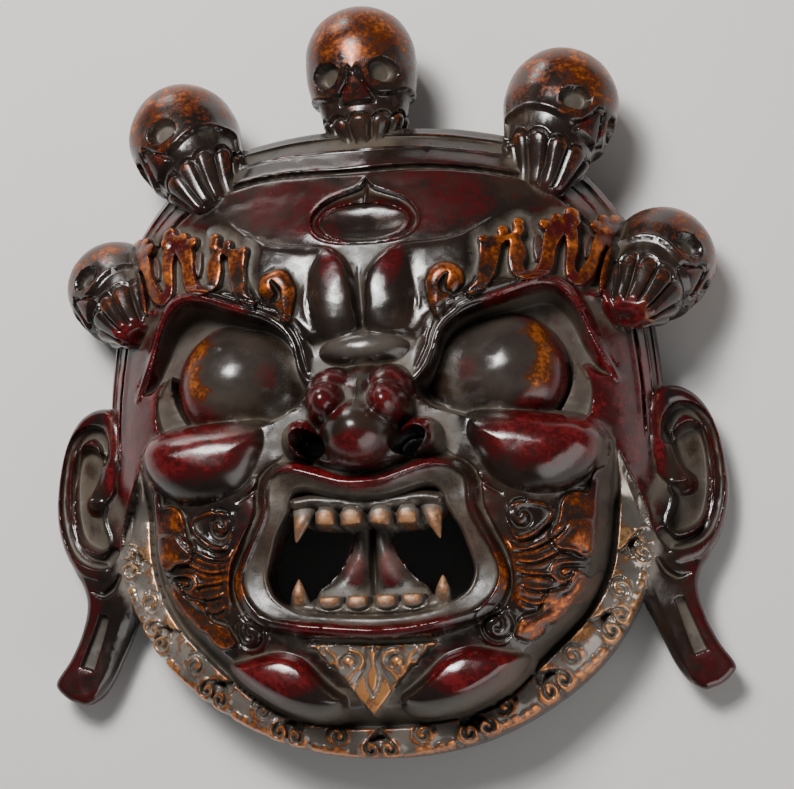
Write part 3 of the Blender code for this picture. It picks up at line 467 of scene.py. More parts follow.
mouthShape = {
    "lip": [(0, -75.6), (7, -75.3), (14, -73.9), (22, -71.2), (28.4, -69), (35, -67), (41.5, -65.8),
            (48, -66.2), (53.3, -68.6), (57.2, -72.6), (58.6, -79.5), (58.8, -86.5), (60, -92), (62.5, -98),
            (67.5, -106.8), (71.6, -115.7), (73.8, -122.2), (74.2, -128.6), (72.4, -135.2), (68.6, -141.7),
            (62.7, -147.1), (56, -150.5), (48.4, -152.4), (38, -154.5), (25, -156), (12, -157),
            (0, -157.5)],
    "inner": [(0, -83.5), (10, -82.5), (20, -80.2), (27, -78), (34, -76.4), (40, -77), (44, -81), (46, -88),
              (49.7, -95), (53.7, -102), (56.5, -110), (58.9, -118), (60, -124), (58.5, -131), (55, -136.8),
              (49.6, -141), (43.8, -144.4), (38, -146.5), (28.7, -148), (15.6, -149.3), (0, -149.8)],
    "upper": [(0, 126), (40, 122), (60, 113), (76, 103)],
    "lower": [(0, 114), (40, 112), (60, 107), (76, 102)],
    "roll": 6.5,
    "crease": [(61, -82), (64, -92), (69, -102), (75, -110), (79, -120), (80.5, -130), (78, -141),
               (71, -150), (58, -156), (40, -159.5), (20, -162), (0, -163)],
    "gape": [(34, -98.3), (12, -100.3), (13, -108.4), (16.5, -116), (21.8, -122.5), (26, -127.6),
             (32, -132), (36, -138), (43, -141), (50, -139.5), (55.5, -134.5), (58.5, -127), (58.3, -119),
             (55.6, -110.5), (52.5, -102.5), (48.3, -95.5), (45, -90), (40, -94)],
    "tongue": [(0, -97), (10.5, -99), (12, -108), (15.5, -116), (21, -123), (26, -128.4), (33, -133),
               (38, -137.5), (36, -140), (0, -140)],
    "tongueHalf": [(97, 10.5), (108, 12), (116, 15.5), (123, 21), (128, 26), (133, 33)],
    "underNose": [(0, -67.5), (12, -66), (24, -63.5), (36, -60.5), (47, -60)],
    "gums": [([(0, -85.4), (15, -84.4), (30, -82.8), (41, -84)], 114, 5.2),
             ([(0, -145.5), (15, -145.2), (30, -144.2), (43, -142)], 101, 5)],
    "teeth": [  # centre, half sizes, top, and whether it stands in the upper or the lower row
        ((8.2, -93.4), (7.2, 6.6), 119, 1), ((23.4, -92.8), (6.9, 6.4), 117.5, 1),
        ((8.3, -141.2), (7.4, 4.9), 106, -1), ((23.9, -140.7), (7.6, 4.8), 105, -1),
    ],
}


def carveMouth(z, x, y):
    m = mouthShape
    lip, inner = bothSides(curve(m["lip"], 4)), bothSides(curve(m["inner"], 4))
    deep, inside = depthIn(x, y, lip, 30), depthIn(x, y, inner, 30)
    upper = ease((y + 120) / 24)
    level = upper * byStep(x, m["upper"]) + (1 - upper) * byStep(x, m["lower"])
    w = np.clip(-deep / m["roll"], 0, 1.3)
    roll = level - 8 * (1 - np.sqrt(np.clip(1 - w**2, 0, 1)))
    hold = 1 - ease((w - 0.75) / 0.5)
    across = deep / np.maximum(deep - inside, 1)
    slope = level - 1.6 * ease(deep / 1.6) - 4.5 * np.clip(across, 0, 1) ** 1.6 - 15 * ease(inside / 2.2)
    z[:] = np.where(deep > 0, slope, z * (1 - hold) + roll * hold) + 1.5 * bump(deep / 3.4)
    z += 0.8 * bump((inside + 1.2) / 1.6) * (inside < 2)
    stroke(z, x, y, m["crease"], 2.4, [-0.8, -2.4, -2.4, -2.0])
    stroke(z, x, y, m["underNose"], 2.4, [-2.5, -2.5, -2, -1])
    for gum, top, size in m["gums"]:
        gap = nearest(x, y, curve(gum), 9)[0]
        z[:] = np.where(gap < size, np.maximum(z, top - 14 + 14 * arch(gap / size)), z)
    for centre, (half, tall), top, up in m["teeth"]:
        u, v = (x - centre[0]) / half, (y - centre[1]) / tall * up
        power = 2.2 + 5 * ease(0.5 - 0.7 * v)
        q = 1 - (np.abs(u) ** power + np.abs(v) ** power) ** (1 / power)
        z += 1.1 * bump((q + 0.12) / 0.2) * ease(v * 2 + 0.8)
        face = top - 2 * u * u - 1.2 * v * v - 6 * (1 - np.clip(2.8 * q, 0, 1)) ** 2
        z[:] = np.where(q > 0.0, np.maximum(z, face), z)
    deep = depthIn(x, y, bothSides(m["tongue"]))
    half = byStep(-y, m["tongueHalf"])
    lobe = 82 + 10 * arch(np.clip((np.abs(x) - 0.5 * half) / (0.62 * half), -1, 1)) - 5 * bump(x / 2.6)
    z[:] = np.where((deep > 0) & (y > -137), lobe, z)
    z[:] = np.where(depthIn(x, y, curve(m["gape"], 4, True)) > 0, -5, z)


# ---- brows: flames cut as one plate, with knobs along their tops

browFlames = {
    "stems": [
        [(63, 33, 2.2), (68.2, 36.2, 3.2), (71, 40, 4.2), (73, 45.4, 5), (74, 51, 5.3), (74.7, 57.2, 5.8),
         (74.8, 62, 6.4)],
        [(70.8, 65.5, 2.6), (75, 66.3, 2.8), (79.5, 66.2, 3.4), (83, 68, 2.6), (87, 67.6, 3.2),
         (89, 64.5, 3.9), (89.6, 60, 5), (89.4, 55.5, 5.1), (89.1, 51.5, 4.4), (90.2, 47.6, 4.2),
         (93.1, 44.8, 3.8), (96.8, 44.3, 3.7), (100.6, 45.6, 3.9), (104, 49, 4.4), (105.9, 54.1, 4.6),
         (106.9, 59.3, 4.5), (107.8, 64.5, 4.6), (109.5, 69.5, 5.4), (113, 74.5, 5)],
        [(113, 74.5, 4), (117.5, 77, 4.6), (120.6, 74.1, 4.3), (120.9, 68.7, 4.2), (120.9, 64, 4),
         (120.1, 59.3, 3.6), (119.3, 54.6, 3.2), (119.4, 49.5, 3.4), (121, 45, 4.2), (125, 45, 4.6),
         (129.3, 49.1, 4.6), (132.3, 54.7, 3.9), (134.3, 60.2, 3.6), (136.2, 65.5, 4), (139, 71, 5)],
        [(87.2, 67.4, 3), (90, 71.5, 3.3), (90.2, 77, 3.2)],
        [(80.5, 66.2, 3), (81.9, 70, 3), (81.8, 72.4, 3)],
        [(106, 76, 3.4), (112, 77, 5), (117, 79.5, 5.2), (121.6, 82, 5)],
        [(136.5, 78, 4), (142, 80, 5.5), (148, 80, 6.5), (152, 83, 5)],
        [(141, 74, 6), (147, 71, 7.5), (149, 65.5, 6), (149.5, 60, 4.6)],
        [(147, 67, 4), (144.2, 61.5, 3.9), (141.8, 55.5, 3.5), (140.3, 49.2, 3.8), (138.4, 43.3, 3),
         (136.3, 38, 1)],
    ],
    "knobs": [(70.6, 66.3, 3.0), (81.8, 72.4, 3.5), (90.2, 77.4, 3.7), (91, 72.6, 3.3), (105.4, 77.2, 3.9),
              (112.4, 81.6, 3.8), (121.8, 85.6, 4.6), (117.5, 80.5, 4), (122.9, 79.6, 4.4),
              (135.6, 79.4, 4.0), (140.2, 85, 3.9), (147.2, 86.6, 4.4), (153.8, 88.2, 4.4),
              (154.5, 80.5, 4.2), (148.6, 79.5, 5.2), (141.5, 78, 4.6), (152.8, 72, 4.4)],
    "sideLobes": [[(100.6, 69, 2), (100.9, 64.5, 2.6), (100.6, 59.5, 2.4), (100.2, 55.5, 1.2)],
                  [(131.8, 72.4, 1.6), (130.4, 68.3, 2.4), (129.4, 63.8, 2.4), (128.4, 59.5, 1.4)]],
    "base": [(50, 30), (60, 31), (72, 36), (84, 40), (96, 42), (108, 43), (120, 40), (132, 38), (138, 38)],
    "rise": 6.6, "side": 3.4, "sunk": 2.4,
}
browCurl = {
    "outline": [(44, 19), (40.6, 22), (39.2, 28), (37.9, 34.5), (37.6, 40.3), (39.2, 45.8), (41.9, 50.3),
                (45.2, 52.6), (49.5, 53.2), (54, 51.9), (57.6, 49.4), (59.8, 46.2), (60.5, 42.3),
                (59.7, 38.3), (57.2, 35), (53.8, 33), (50.6, 31), (48.9, 27), (47.6, 22.5)],
    "hollow": [(51.3, 44.6), (49.6, 41.8), (48, 38.6), (48.4, 35.8), (51, 33.8)],
    "ridge": [(48.6, 36.2), (50, 33.2), (53.4, 31.6), (56.8, 32.8), (60, 35.2), (62.7, 38.2), (65.1, 41.7),
              (67.1, 45.5), (68.6, 49.4), (69.3, 54)],
    "rise": 8.5,
}


def browGap(x, y):
    # distance inside the brow's flames, negative outside them
    return np.maximum(inStrokes(x, y, browFlames["stems"]), roundTops(x, y, browFlames["knobs"])[1])


def curlGap(x, y):
    # distance inside the curl at the brow's inner end
    return depthIn(x, y, curve(browCurl["outline"], 4, True))


def carveBrows(z, x, y):
    b = browFlames
    flames, curl, lobes = browGap(x, y), curlGap(x, y), inStrokes(x, y, b["sideLobes"])
    z -= b["sunk"] * bump(np.clip(-flames - 2, 0, 7) / 7) * ease((y - 40) / 8) * ease((92 - y) / 8)
    mass = 3.0 * ease((6.5 - nearest(x, y, curve(b["base"]), 9)[0]) / 5)
    knobs = roundTops(x, y, b["knobs"])[0]
    edge = arch(np.clip(1 - flames / 3.2, 0, 1))
    plate = b["rise"] * ease((flames + 0.5) / 1.0) + edge + 1.3 * knobs - 0.3 * (knobs > 0)
    side = b["side"] * ease((lobes + 0.4) / 1.0) + 1.2 * arch(np.clip(1 - lobes / 2.4, 0, 1)) * (lobes > 0)
    t = 1 - np.clip(curl / 7.5, 0, 1)
    roll = browCurl["rise"] * np.sqrt(1 - t * t) ** 0.8 * (0.72 + 0.28 * ease((y - 30) / 16))
    lift = np.maximum.reduce([np.where(flames > -0.5, plate, 0), side, np.where(curl > 0, roll, 0), mass])
    # the last group lies over the crown's edge
    over = ease((x - 118) / 8) * ease((flames + 0.5) / 1.0)
    z += lift + over * (dome(x, y) + 1.0 - z)
    stroke(z, x, y, browCurl["hollow"], [1.3, 2.2, 2.8, 2.9, 2.4], [-1.5, -4.5, -6.5, -7, -5.5])
    stroke(z, x, y, browCurl["ridge"], 1.5, [0.8, 2.2, 2.4, 1.6, 0.8])


# ---- flame scrolls on the cheeks

cheekFlames = {
    "upper": [(139, -50), (137, -62), (134.5, -65.8), (131, -67.4), (128.5, -70), (126.6, -74),
              (125.3, -80), (120, -80.2), (115.7, -81.6), (112.3, -84), (109.8, -88), (108.7, -93.5),
              (107, -99), (104.5, -104), (104, -110), (107, -114.5), (115, -116.5), (121.6, -118.5),
              (126, -116.9), (129, -113), (129.6, -107.4), (130.6, -101), (133.6, -97), (135.8, -92),
              (136.7, -84.7), (138, -76), (139.4, -66), (140, -58)],
    "lower": [(98.7, -140.6), (101.7, -137.1), (106, -136), (110.8, -133.6), (113.8, -129.3), (116, -125.8),
              (120.2, -126.8), (123.5, -129), (128, -125.2), (131, -124.4), (129.8, -129), (127.5, -134),
              (124.4, -139), (121, -142.4), (117.2, -144), (113.1, -144.8), (110.8, -148.8),
              (107.1, -152.3), (103.5, -154.4), (99.2, -156.4), (96.9, -160.6), (93.3, -163.7),
              (89, -165.4), (84.2, -164.5), (80.8, -162.5), (82.5, -157.7), (85, -153), (90, -150.9),
              (95.6, -148)],
    "almond": [(78.4, -90), (81, -87.6), (87.5, -85.8), (94.4, -86), (100.4, -87.3), (104.8, -89.6),
               (106.2, -93.3), (104.5, -97.9), (100.4, -101.9), (95.3, -105.8), (90.2, -108.3),
               (84, -109.2), (80, -104), (78, -97)],
    "spirals": [((87.5, -95), 8.8, 1.15, 100, 1), ((70.5, -156.5), 10.4, 1.3, 20, -1)],
    "strips": [[(106.5, -95), (102.9, -100.2), (97.6, -104.7), (90.8, -108.3), (80, -109.4)],
               [(115.5, -96.5), (112.9, -100.6), (109.7, -104.6), (104, -109.1), (97.2, -112.5),
                (90.5, -114.4), (80, -114.8)],
               [(121, -117.5), (114, -115.9), (109, -115.9), (103, -118.6), (97, -121), (90, -122),
                (81, -121)],
               [(106, -131.2), (98, -128.9), (91, -128.4), (82, -127.2)],
               [(103, -136.5), (98.9, -136.9), (92.7, -136.9), (84, -135)],
               [(101.5, -141.5), (98.5, -144.3), (91.5, -145.2), (83, -142.5)]],
    "hookBand": [(124, -120.3), (116.3, -120.9), (110, -121.2), (105.2, -122.4), (103, -125),
                 (103.4, -128.4), (106.4, -130.9), (110.5, -131.3), (113.8, -129.3)],
    "hookGroove": [(122, -123.2), (115, -123.2), (109.2, -123.8), (107, -126.6), (109.2, -128.7),
                   (113, -127.6)],
    "fan": [(78, -108), (90, -111), (104, -100), (128, -96), (131, -112), (124, -124), (112, -134),
            (100, -146), (84, -150), (79, -130)],
    "mounds": [(124, -98, 13), (118, -108, 9), (112, -144, 8), (103, -150, 8)],
    "rise": 6.5, "base": 2.5,
}


def carveFlames(z, x, y):
    c = cheekFlames
    z += c["base"] * ease(depthIn(x, y, curve(c["fan"], 4, True)) / 4)
    for name in ("upper", "lower"):
        deep = depthIn(x, y, curve(c[name], 4, True))
        rolled = np.sqrt(np.clip(1 - (1 - np.clip(deep / 7, 0, 1)) ** 2, 0, 1))
        z += ((c["rise"] - c["base"]) * rolled + 1.2 * bump((deep - 1.2) / 1.6)
              - 1.0 * bump((deep + 0.9) / 1.2))
    deep = depthIn(x, y, curve(c["almond"], 4, True))
    z += 1.6 * ease(deep / 1.4) - 2.2 * ease((deep - 2.0) / 2.5)
    for line in c["strips"]:
        gap, share, side = nearest(x, y, curve(line), 9)
        fade = ease(share * 5) * ease((1 - share) * 5)
        z += fade * (1.5 * bump((gap - 1.8) / 1.8) * (side < 0) - 2.2 * bump(gap / 1.3)
                     - 0.9 * bump((gap - 4) / 4) * (side > 0))
    stroke(z, x, y, c["hookBand"], [1.6, 2.2, 2.2, 1.6], [0.5, 2.4, 2.4, 1.2])
    stroke(z, x, y, c["hookGroove"], [1.2, 1.8, 1.8, 1.2], [-1, -3, -3, -1])
    for centre, size, turns, start, hand in c["spirals"]:
        away = np.hypot(x - centre[0], y - centre[1])
        z += 2.6 * arch(away / (size + 1.5)) * (size > 10) + 1.8 * bump(away / (0.8 * size))
        z -= 2.6 * bump(spiral(x, y, centre, size, turns, start, hand, 0.06) / 1.9)
    for px, py, width in c["mounds"]:
        z += 0.5 * bump(np.hypot(x - px, y - py) / width)


# ---- goatee

goatee = {
    "outline": [(0, -165), (38.3, -164.3), (35.3, -167), (31.7, -167.6), (29.6, -171), (26.5, -173.5),
                (25, -177), (22, -177.4), (19.6, -181), (17.7, -183.5), (15, -186), (13.7, -189),
                (10.5, -192.4), (7.4, -197), (4.2, -200.6), (0, -206)],
    "leaf": [(0, -166.5), (2.2, -170), (1.6, -176), (3.4, -183), (2.2, -190), (0, -194)],
    "wave": [(12.6, -168.4), (7.6, -170), (5.4, -174), (7, -178), (11, -181.5), (14.4, -186)],
    "groove": [(4.4, -167), (3.6, -174), (5.4, -181), (9, -186.5), (10, -191)],
    "fan": [[(25.5, -168), (21.4, -171.5), (19.2, -177.5)], [(30.5, -167.6), (28.4, -171)]],
    "coil": (13.6, -175.4), "knob": (22.6, -175.6), "hem": [(0, -165), (18, -164.5), (38, -163)],
}


def carveGoatee(z, x, y):
    g = goatee
    deep = depthIn(x, y, bothSides(g["outline"]))
    level = 96 + 0.36 * (y + 175)
    ditch = np.where(deep > -3, np.minimum(z, level - 2.6 - 1.2 * deep), z)
    z[:] = np.where(deep > 0, level - 1.6 + 2.2 * ease(deep / 1.0), ditch)
    inside = ease(deep / 1.2)
    away = np.hypot(x - g["coil"][0], y - g["coil"][1])
    z += inside * (1.6 * bump(away / 3.6) - 2.2 * bump((away - 4.4) / 1.5) * (y > -177.5))
    wave, groove = (nearest(x, y, curve(g[name]), 4)[0] for name in ("wave", "groove"))
    z += inside * (2.2 * bump(wave / 2.0) - 1.8 * bump(groove / 1.1))
    for line in g["fan"]:
        z += inside * 1.8 * bump(nearest(x, y, curve(line), 4)[0] / 2.2)
    z += inside * 1.4 * bump(np.hypot(x - g["knob"][0], y - g["knob"][1]) / 2.4)
    deep = depthIn(x, y, bothSides(curve(g["leaf"])))
    z += inside * (1.8 * ease(deep / 1.4) - 1.2 * bump((deep + 0.8) / 1.0))
    stroke(z, x, y, g["hem"], 1.6, [0.8, 1.0, 0.6])


# ---- the whole face, a square grid drawn out ring for ring to the outline

# "middle" is how far the face's middle line wanders sideways, by its height
handMarks = {"seed": 5, "waves": 14, "sway": 0.5, "chisel": 0.12,
             "middle": [(-205, -1.5), (-160, 0), (-90, 0), (-60, -2), (-20, -2.3), (5, 0.8), (20, -0.8),
                        (48, -2.4), (66, -0.5), (95, 0.6), (112, 1)]}


def waves(x, y, number, wavelength, seed):
    # a few crossing waves, for the unevenness of hand work
    chance = np.random.default_rng(seed)
    total = np.zeros(np.shape(x))
    for _ in range(number):
        angle = chance.uniform(0, 2 * math.pi)
        size = wavelength * chance.uniform(0.6, 1.6)
        phase = chance.uniform(0, 6.3)
        total += np.sin((x * math.cos(angle) + y * math.sin(angle)) * 2 * math.pi / size + phase)
    return total / math.sqrt(number)


def relief(across, up):
    sway = handMarks["sway"] * ease(dome(np.abs(across), up) / 30 - 1)
    middle = byStep(up, handMarks["middle"]) * bump(across / 90)
    x = np.abs(across - middle + sway * waves(across, up, 5, 90, 11))
    y = up + sway * waves(across, up, 5, 80, 12)
    z = dome(x, y)
    rim, along, _ = nearest(x, y, outline, 5)
    carveBand(z, x, y, rim)
    carveFringe(z, x, y, rim, along * outlineLength)
    carveForehead(z, x, y)
    carveEyes(z, x, y)
    carveNose(z, x, y)
    carveCheeks(z, x, y)
    carveMouth(z, x, y)
    carveBrows(z, x, y)
    carveFlames(z, x, y)
    carveGoatee(z, x, y)
    z += handMarks["chisel"] * waves(across, up, handMarks["waves"], 13, handMarks["seed"]) * (z > 20)
    return np.maximum(z, 2)


def facePlaces(points):
    u, v = points[:, 0], points[:, 1]
    level = np.maximum(np.abs(u), np.abs(v))
    wide = np.abs(u) >= np.abs(v)
    share = np.where(wide, v, u) / np.where(wide, np.where(u == 0, 1, u), v)
    angle = np.where(wide, np.where(u < 0, 180, 0) + 45 * share, np.where(v < 0, 270, 90) - 45 * share)
    reach = level * radius(angle)
    x = reach * np.cos(np.radians(angle))
    y = headShape["middle"] + reach * np.sin(np.radians(angle))
    return np.stack([x, y, relief(x, y)], 1)


# ---- skulls of the crown

skullShape = {  # height, half-width, front and back depth of each ring, from the crown down to the chin
    "rings": [(36, 0, 0, 0), (34.5, 10, 9, 11), (30, 19.5, 19, 21), (23, 27.5, 27, 29),
              (10, 33.8, 34.5, 35.4), (-6, 35, 36, 36), (-16, 34, 34.5, 33), (-32, 31, 31, 27.5),
              (-42, 28.5, 30, 25), (-50, 25, 28.5, 22), (-58, 20.5, 26.5, 20), (-70, 14, 20, 15),
              (-70, 0, 0, 0)],
    "browLine": [(0, -11.5), (4, -13), (9, -17.5), (17, -24), (28, -27), (40, -26.8), (54, -24.8),
                 (68, -23.6), (84, -24.2), (100, -26), (180, -28)],
    # angle round the jaw, half-width and top of each petal
    "petals": [(0, 18.5, -37.5), (33.5, 15.5, -37.5), (65, 16, -36.5), (97, 16, -37), (129, 15, -39)],
    "segments": ((220, 190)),
    "places": [  # centre, pitch, yaw and tilt in degrees, scale
        ((-6, 194.5, 54), (4, -3, 3), 0.98),
        ((116.5, 162, 48), (-27, 49, -37), 0.98),
        ((-119, 154, 48), (-30, -43, 51), 0.965),
        ((173, 65, 34), (-60, 39, -77), 0.92),
        ((-166, 63.5, 33), (-54, -37, 75), 0.86),
    ],
}


def socketDepth(around, y):
    return 1 - np.abs((around - 33) / 17) ** 2.2 - np.abs((y + 13 + 0.06 * (around - 33)) / 7.4) ** 2


def skullPlaces(points):
    share = np.arccos(np.clip(points[:, 2], -1, 1)) / math.pi
    angle = np.degrees(np.arctan2(points[:, 0], -points[:, 1]))
    ring = curve(skullShape["rings"], 8)
    y, wide, front, back = (np.interp(share, np.linspace(0, 1, len(ring)), ring[:, k]) for k in range(4))
    sine, cosine = np.sin(np.radians(angle)), np.cos(np.radians(angle))
    x, z = wide * sine, np.where(cosine > 0, front, back) * cosine
    around = np.abs(angle)
    line = byStep(around, skullShape["browLine"])
    face = around < 128
    push = -3.2 * ease((line - y) / 1.0) * face + 0.8 * bump((y - line - 1.0) / 1.4) * face
    bridge = (13 - 0.6 * np.abs(y + 31)) - around * 0.6
    push += (2.8 * ease(bridge / 2.4) * ((y < -12) & (y > -31))
             - 1.8 * bump((bridge + 1.4) / 1.3) * ((y < -10) & (y > -31)))
    push -= 2.4 * bump((y + 31.8) / 1.3) * (around < 24)
    socket = socketDepth(around, y)
    push += 0.5 * bump((socket + 0.12) / 0.2) - 7.5 * ease(3.4 * socket)
    push -= 2.0 * ease((-38 - y) / 20) * face
    inside = np.full(len(y), -9.0)
    for centre, half, top in skullShape["petals"]:
        shoulder = np.maximum(y - (top - 6.5), 0) / 6.5
        inside = np.maximum(inside, (1 - np.hypot((around - centre) / half, shoulder)) * 0.42 * half)
    level = (1.7 * ease((inside - 0.5) / 4) - 1.9 * bump((inside - 0.2) / 1.15)
             + 0.5 * bump((inside + 1.5) / 1))
    push += level * (y > -68)
    out = np.hypot(x, z) + 1e-6
    return np.stack([x + push * x / out, y, z + push * z / out], 1)


# ---- ears and fangs

earShape = {
    "outer": [(164, -13.5), (172, -11.8), (181, -12.8), (190, -17.5), (197, -26), (202.5, -39), (206, -55),
              (207.5, -71), (206, -86), (201.5, -100), (195, -112), (189, -122), (186.5, -132), (188, -143),
              (192, -155), (198, -167), (206, -178.5), (205, -184), (198, -190), (189, -193.5)],
    "inner": [(160, -14.5), (152, -24), (150, -45), (151, -80), (152, -115), (153, -138), (159, -152),
              (165, -165), (171, -178), (178, -188), (186, -193)],
    "helix": [(181, -70), (172, -62), (166.5, -48), (165.5, -33), (170, -21), (181, -17), (191, -22),
              (198, -32), (202, -48), (203.5, -68), (202, -85), (196.5, -99), (187, -109), (176, -113)],
    "scapha": [(172, -44), (173.5, -34), (180, -27), (188, -27.5), (195, -35), (198.5, -48), (200.5, -68),
               (198.5, -85), (192.5, -99), (183, -106), (173, -107.5), (167, -102)],
    "concha": [(174, -44), (178.5, -37), (186, -33.5), (193, -37), (197, -48), (198, -65), (196.5, -80),
               (193, -91), (187, -97.5), (178, -101), (171, -99), (170, -93), (173, -85), (174, -78),
               (172.5, -72), (182, -70), (177.5, -59)],
    "crescent": [(163, -117), (168, -124), (175, -127.5), (182, -125)],
    "lobe": [(157, -126), (163, -142), (171, -161), (180, -187)],
    "slot": [(174.5, -139.5), (180, -155), (186, -171.5)],
    "helixWidth": [(0, 8), (0.15, 7.5), (0.35, 6.5), (0.5, 5.5), (0.8, 5.5), (1, 6)],
    "helixRise": [(0, 6), (0.15, 8), (0.35, 5), (0.5, 4), (0.8, 3), (1, 2)],
    "thick": 15.0, "cells": ((110, 330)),
}
fangShapes = [([(36.5, -84, 102), (37.5, -94, 109), (41.5, -107.5, 110)], 7.4),
              ([(41, -145, 94), (41.5, -136, 101), (41.5, -126.5, 102)], 6.4)]


def earPlaces(points):
    u, v = 0.5 + 0.5 * points[:, 0], 0.5 - 0.5 * points[:, 1]
    edges = []
    for name in ("inner", "outer"):
        line = curve(earShape[name])
        passed = np.concatenate([[0], np.cumsum(np.hypot(*np.diff(line, axis=0).T))])
        edges.append(np.stack([np.interp(v * passed[-1], passed, line[:, k]) for k in (0, 1)]))
    x, y = edges[0] * (1 - u) + edges[1] * u
    low = ease((y + 125) / -30)
    plane = (42 - 0.4 * (x - 158)) * (1 - low) + (30 - 0.05 * (x - 180)) * low
    z = plane.copy()
    helix = curve(earShape["helix"])
    gap, share, _ = nearest(x, y, helix, 10)
    wide, high = (byStep(share, earShape[name]) for name in ("helixWidth", "helixRise"))
    z += high * arch(np.minimum(gap / wide, 1))
    gap = nearest(x, y, curve(earShape["scapha"]), 8)[0]
    z -= 6.4 * ease((4.6 - gap) / 1.8)
    deep = depthIn(x, y, curve(earShape["concha"], 4, True))
    z += 1.2 * bump((deep + 0.8) / 1.6) - 11 * ease((deep + 0.5) / 4.5)
    stroke(z, x, y, earShape["crescent"], [2.4, 3.4, 3, 1], [-3, -4.5, -4, -1])
    gap, _, side = nearest(x, y, curve(earShape["lobe"]), 40)
    z -= np.where((side < 0) & (y < -120), 0.75 * gap, 0) * ease((-y - 122) / 14)
    gap, share, _ = nearest(x, y, curve(earShape["slot"]), 10)
    z -= 5 * ease(3.4 + 1.5 * share - gap) * ((share > 0.001) & (share < 0.999))
    border = np.vstack([curve(earShape["outer"], 4), curve(earShape["inner"], 4)[::-1]])
    z -= 3.2 * np.clip(1 - nearest(x, y, np.vstack([border, border[:1]]), 6)[0] / 4.5, 0, 1) ** 2
    z += handMarks["chisel"] * waves(x, y, 10, 12, 21)
    back = np.maximum(np.minimum(plane - earShape["thick"], z - 5), 3)
    return np.stack([x, y, z], 1), np.stack([x, y, back], 1)


def fangPlaces(points, path, size):
    line = curve(path)
    share = np.arccos(np.clip(points[:, 2], -1, 1)) / math.pi
    spot = np.stack([np.interp(share, np.linspace(0, 1, len(line)), line[:, k]) for k in range(3)], 1)
    half = size * byStep(share, [(0, 0), (0.06, 0.8), (0.15, 1), (0.6, 0.62), (0.9, 0.2), (1, 0.02)])
    across = points[:, :2] / (np.hypot(points[:, 0], points[:, 1])[:, None] + 1e-9)
    spot[:, 0] += half * across[:, 0]
    spot[:, 2] += 0.8 * half * across[:, 1]
    return spot


hollowShape = {"wall": 23.0, "depth": 80.0}


def hollowPlaces(points):
    angle = np.degrees(np.arctan2(points[:, 1], points[:, 0]))
    reach = np.hypot(points[:, 0], points[:, 1]) ** 0.6 * (radius(angle) - hollowShape["wall"])
    x, y = reach * np.cos(np.radians(angle)), headShape["middle"] + reach * np.sin(np.radians(angle))
    z = np.sign(points[:, 2]) * np.abs(points[:, 2]) ** 0.75 * hollowShape["depth"]
    gouge = 0.5 * waves(x, y, 9, 15, 31) * (np.abs(z) > 8)
    return np.stack([x, y, z + gouge], 1)


# ---- making the meshes

def readPoints(obj):
    points = np.empty(len(obj.data.vertices) * 3, np.float32)
    obj.data.vertices.foreach_get("co", points)
    return points.reshape(-1, 3).astype(float)


def writePoints(obj, places):
    obj.data.vertices.foreach_set("co", (places * mm).astype(np.float32).ravel())
    obj.data.update()


def onlySelect(obj):
    bpy.ops.object.select_all(action="DESELECT")
    obj.select_set(True)
    bpy.context.view_layer.objects.active = obj


def faceOutwards(obj):
    onlySelect(obj)
    bpy.ops.object.mode_set(mode="EDIT")
    bpy.ops.mesh.select_all(action="SELECT")
    bpy.ops.mesh.normals_make_consistent(inside=False)
    bpy.ops.object.mode_set(mode="OBJECT")


def addFace():
    cells = quality["faceCells"]
    bpy.ops.mesh.primitive_grid_add(x_subdivisions=cells, y_subdivisions=cells, size=2)
    face = bpy.context.object
    face.name = "carvedMask"
    writePoints(face, facePlaces(readPoints(face)))
    # a skirt down to the back rim, closed by one face
    bpy.ops.object.mode_set(mode="EDIT")
    bpy.ops.mesh.select_all(action="DESELECT")
    bpy.ops.mesh.select_mode(type="EDGE")
    bpy.ops.mesh.select_non_manifold()
    bpy.ops.mesh.extrude_edges_move()
    bpy.ops.transform.resize(value=(1, 1, 0), center_override=(0, 0, 0))
    bpy.ops.mesh.edge_face_add()
    bpy.ops.object.mode_set(mode="OBJECT")
    faceOutwards(face)
    return face


def addEar(side):
    across, along = earShape["cells"]
    bpy.ops.mesh.primitive_grid_add(x_subdivisions=across, y_subdivisions=along, size=2)
    ear = bpy.context.object
    front, back = earPlaces(readPoints(ear))
    bpy.ops.object.mode_set(mode="EDIT")
    bpy.ops.mesh.extrude_region_move()
    bpy.ops.object.mode_set(mode="OBJECT")
    writePoints(ear, np.vstack([back, front]) * [side, 1, 1])
    faceOutwards(ear)
    return ear


def addBall(segments, places, side=1):
    bpy.ops.mesh.primitive_uv_sphere_add(segments=segments[0], ring_count=segments[1], radius=1)
    ball = bpy.context.object
    writePoints(ball, places(readPoints(ball)) * [side, 1, 1])
    faceOutwards(ball)
    return ball


def addSkull(centre, angles, scale):
    skull = addBall(skullShape["segments"], skullPlaces)
    skull.location = [value * mm for value in centre]
    skull.rotation_euler = [math.radians(value) for value in angles]
    skull.scale = scale, scale, scale
    onlySelect(skull)
    bpy.ops.object.transform_apply(location=True, rotation=True, scale=True)
    return skull


def applyAll(obj):
    onlySelect(obj)
    for modifier in list(obj.modifiers):
        bpy.ops.object.modifier_apply(modifier=modifier.name)


def combine(obj, other, operation):
    boolean = obj.modifiers.new(operation.title(), "BOOLEAN")
    boolean.operation = operation
    boolean.object = other
    boolean.solver = "MANIFOLD"
    applyAll(obj)
    bpy.data.objects.remove(other)


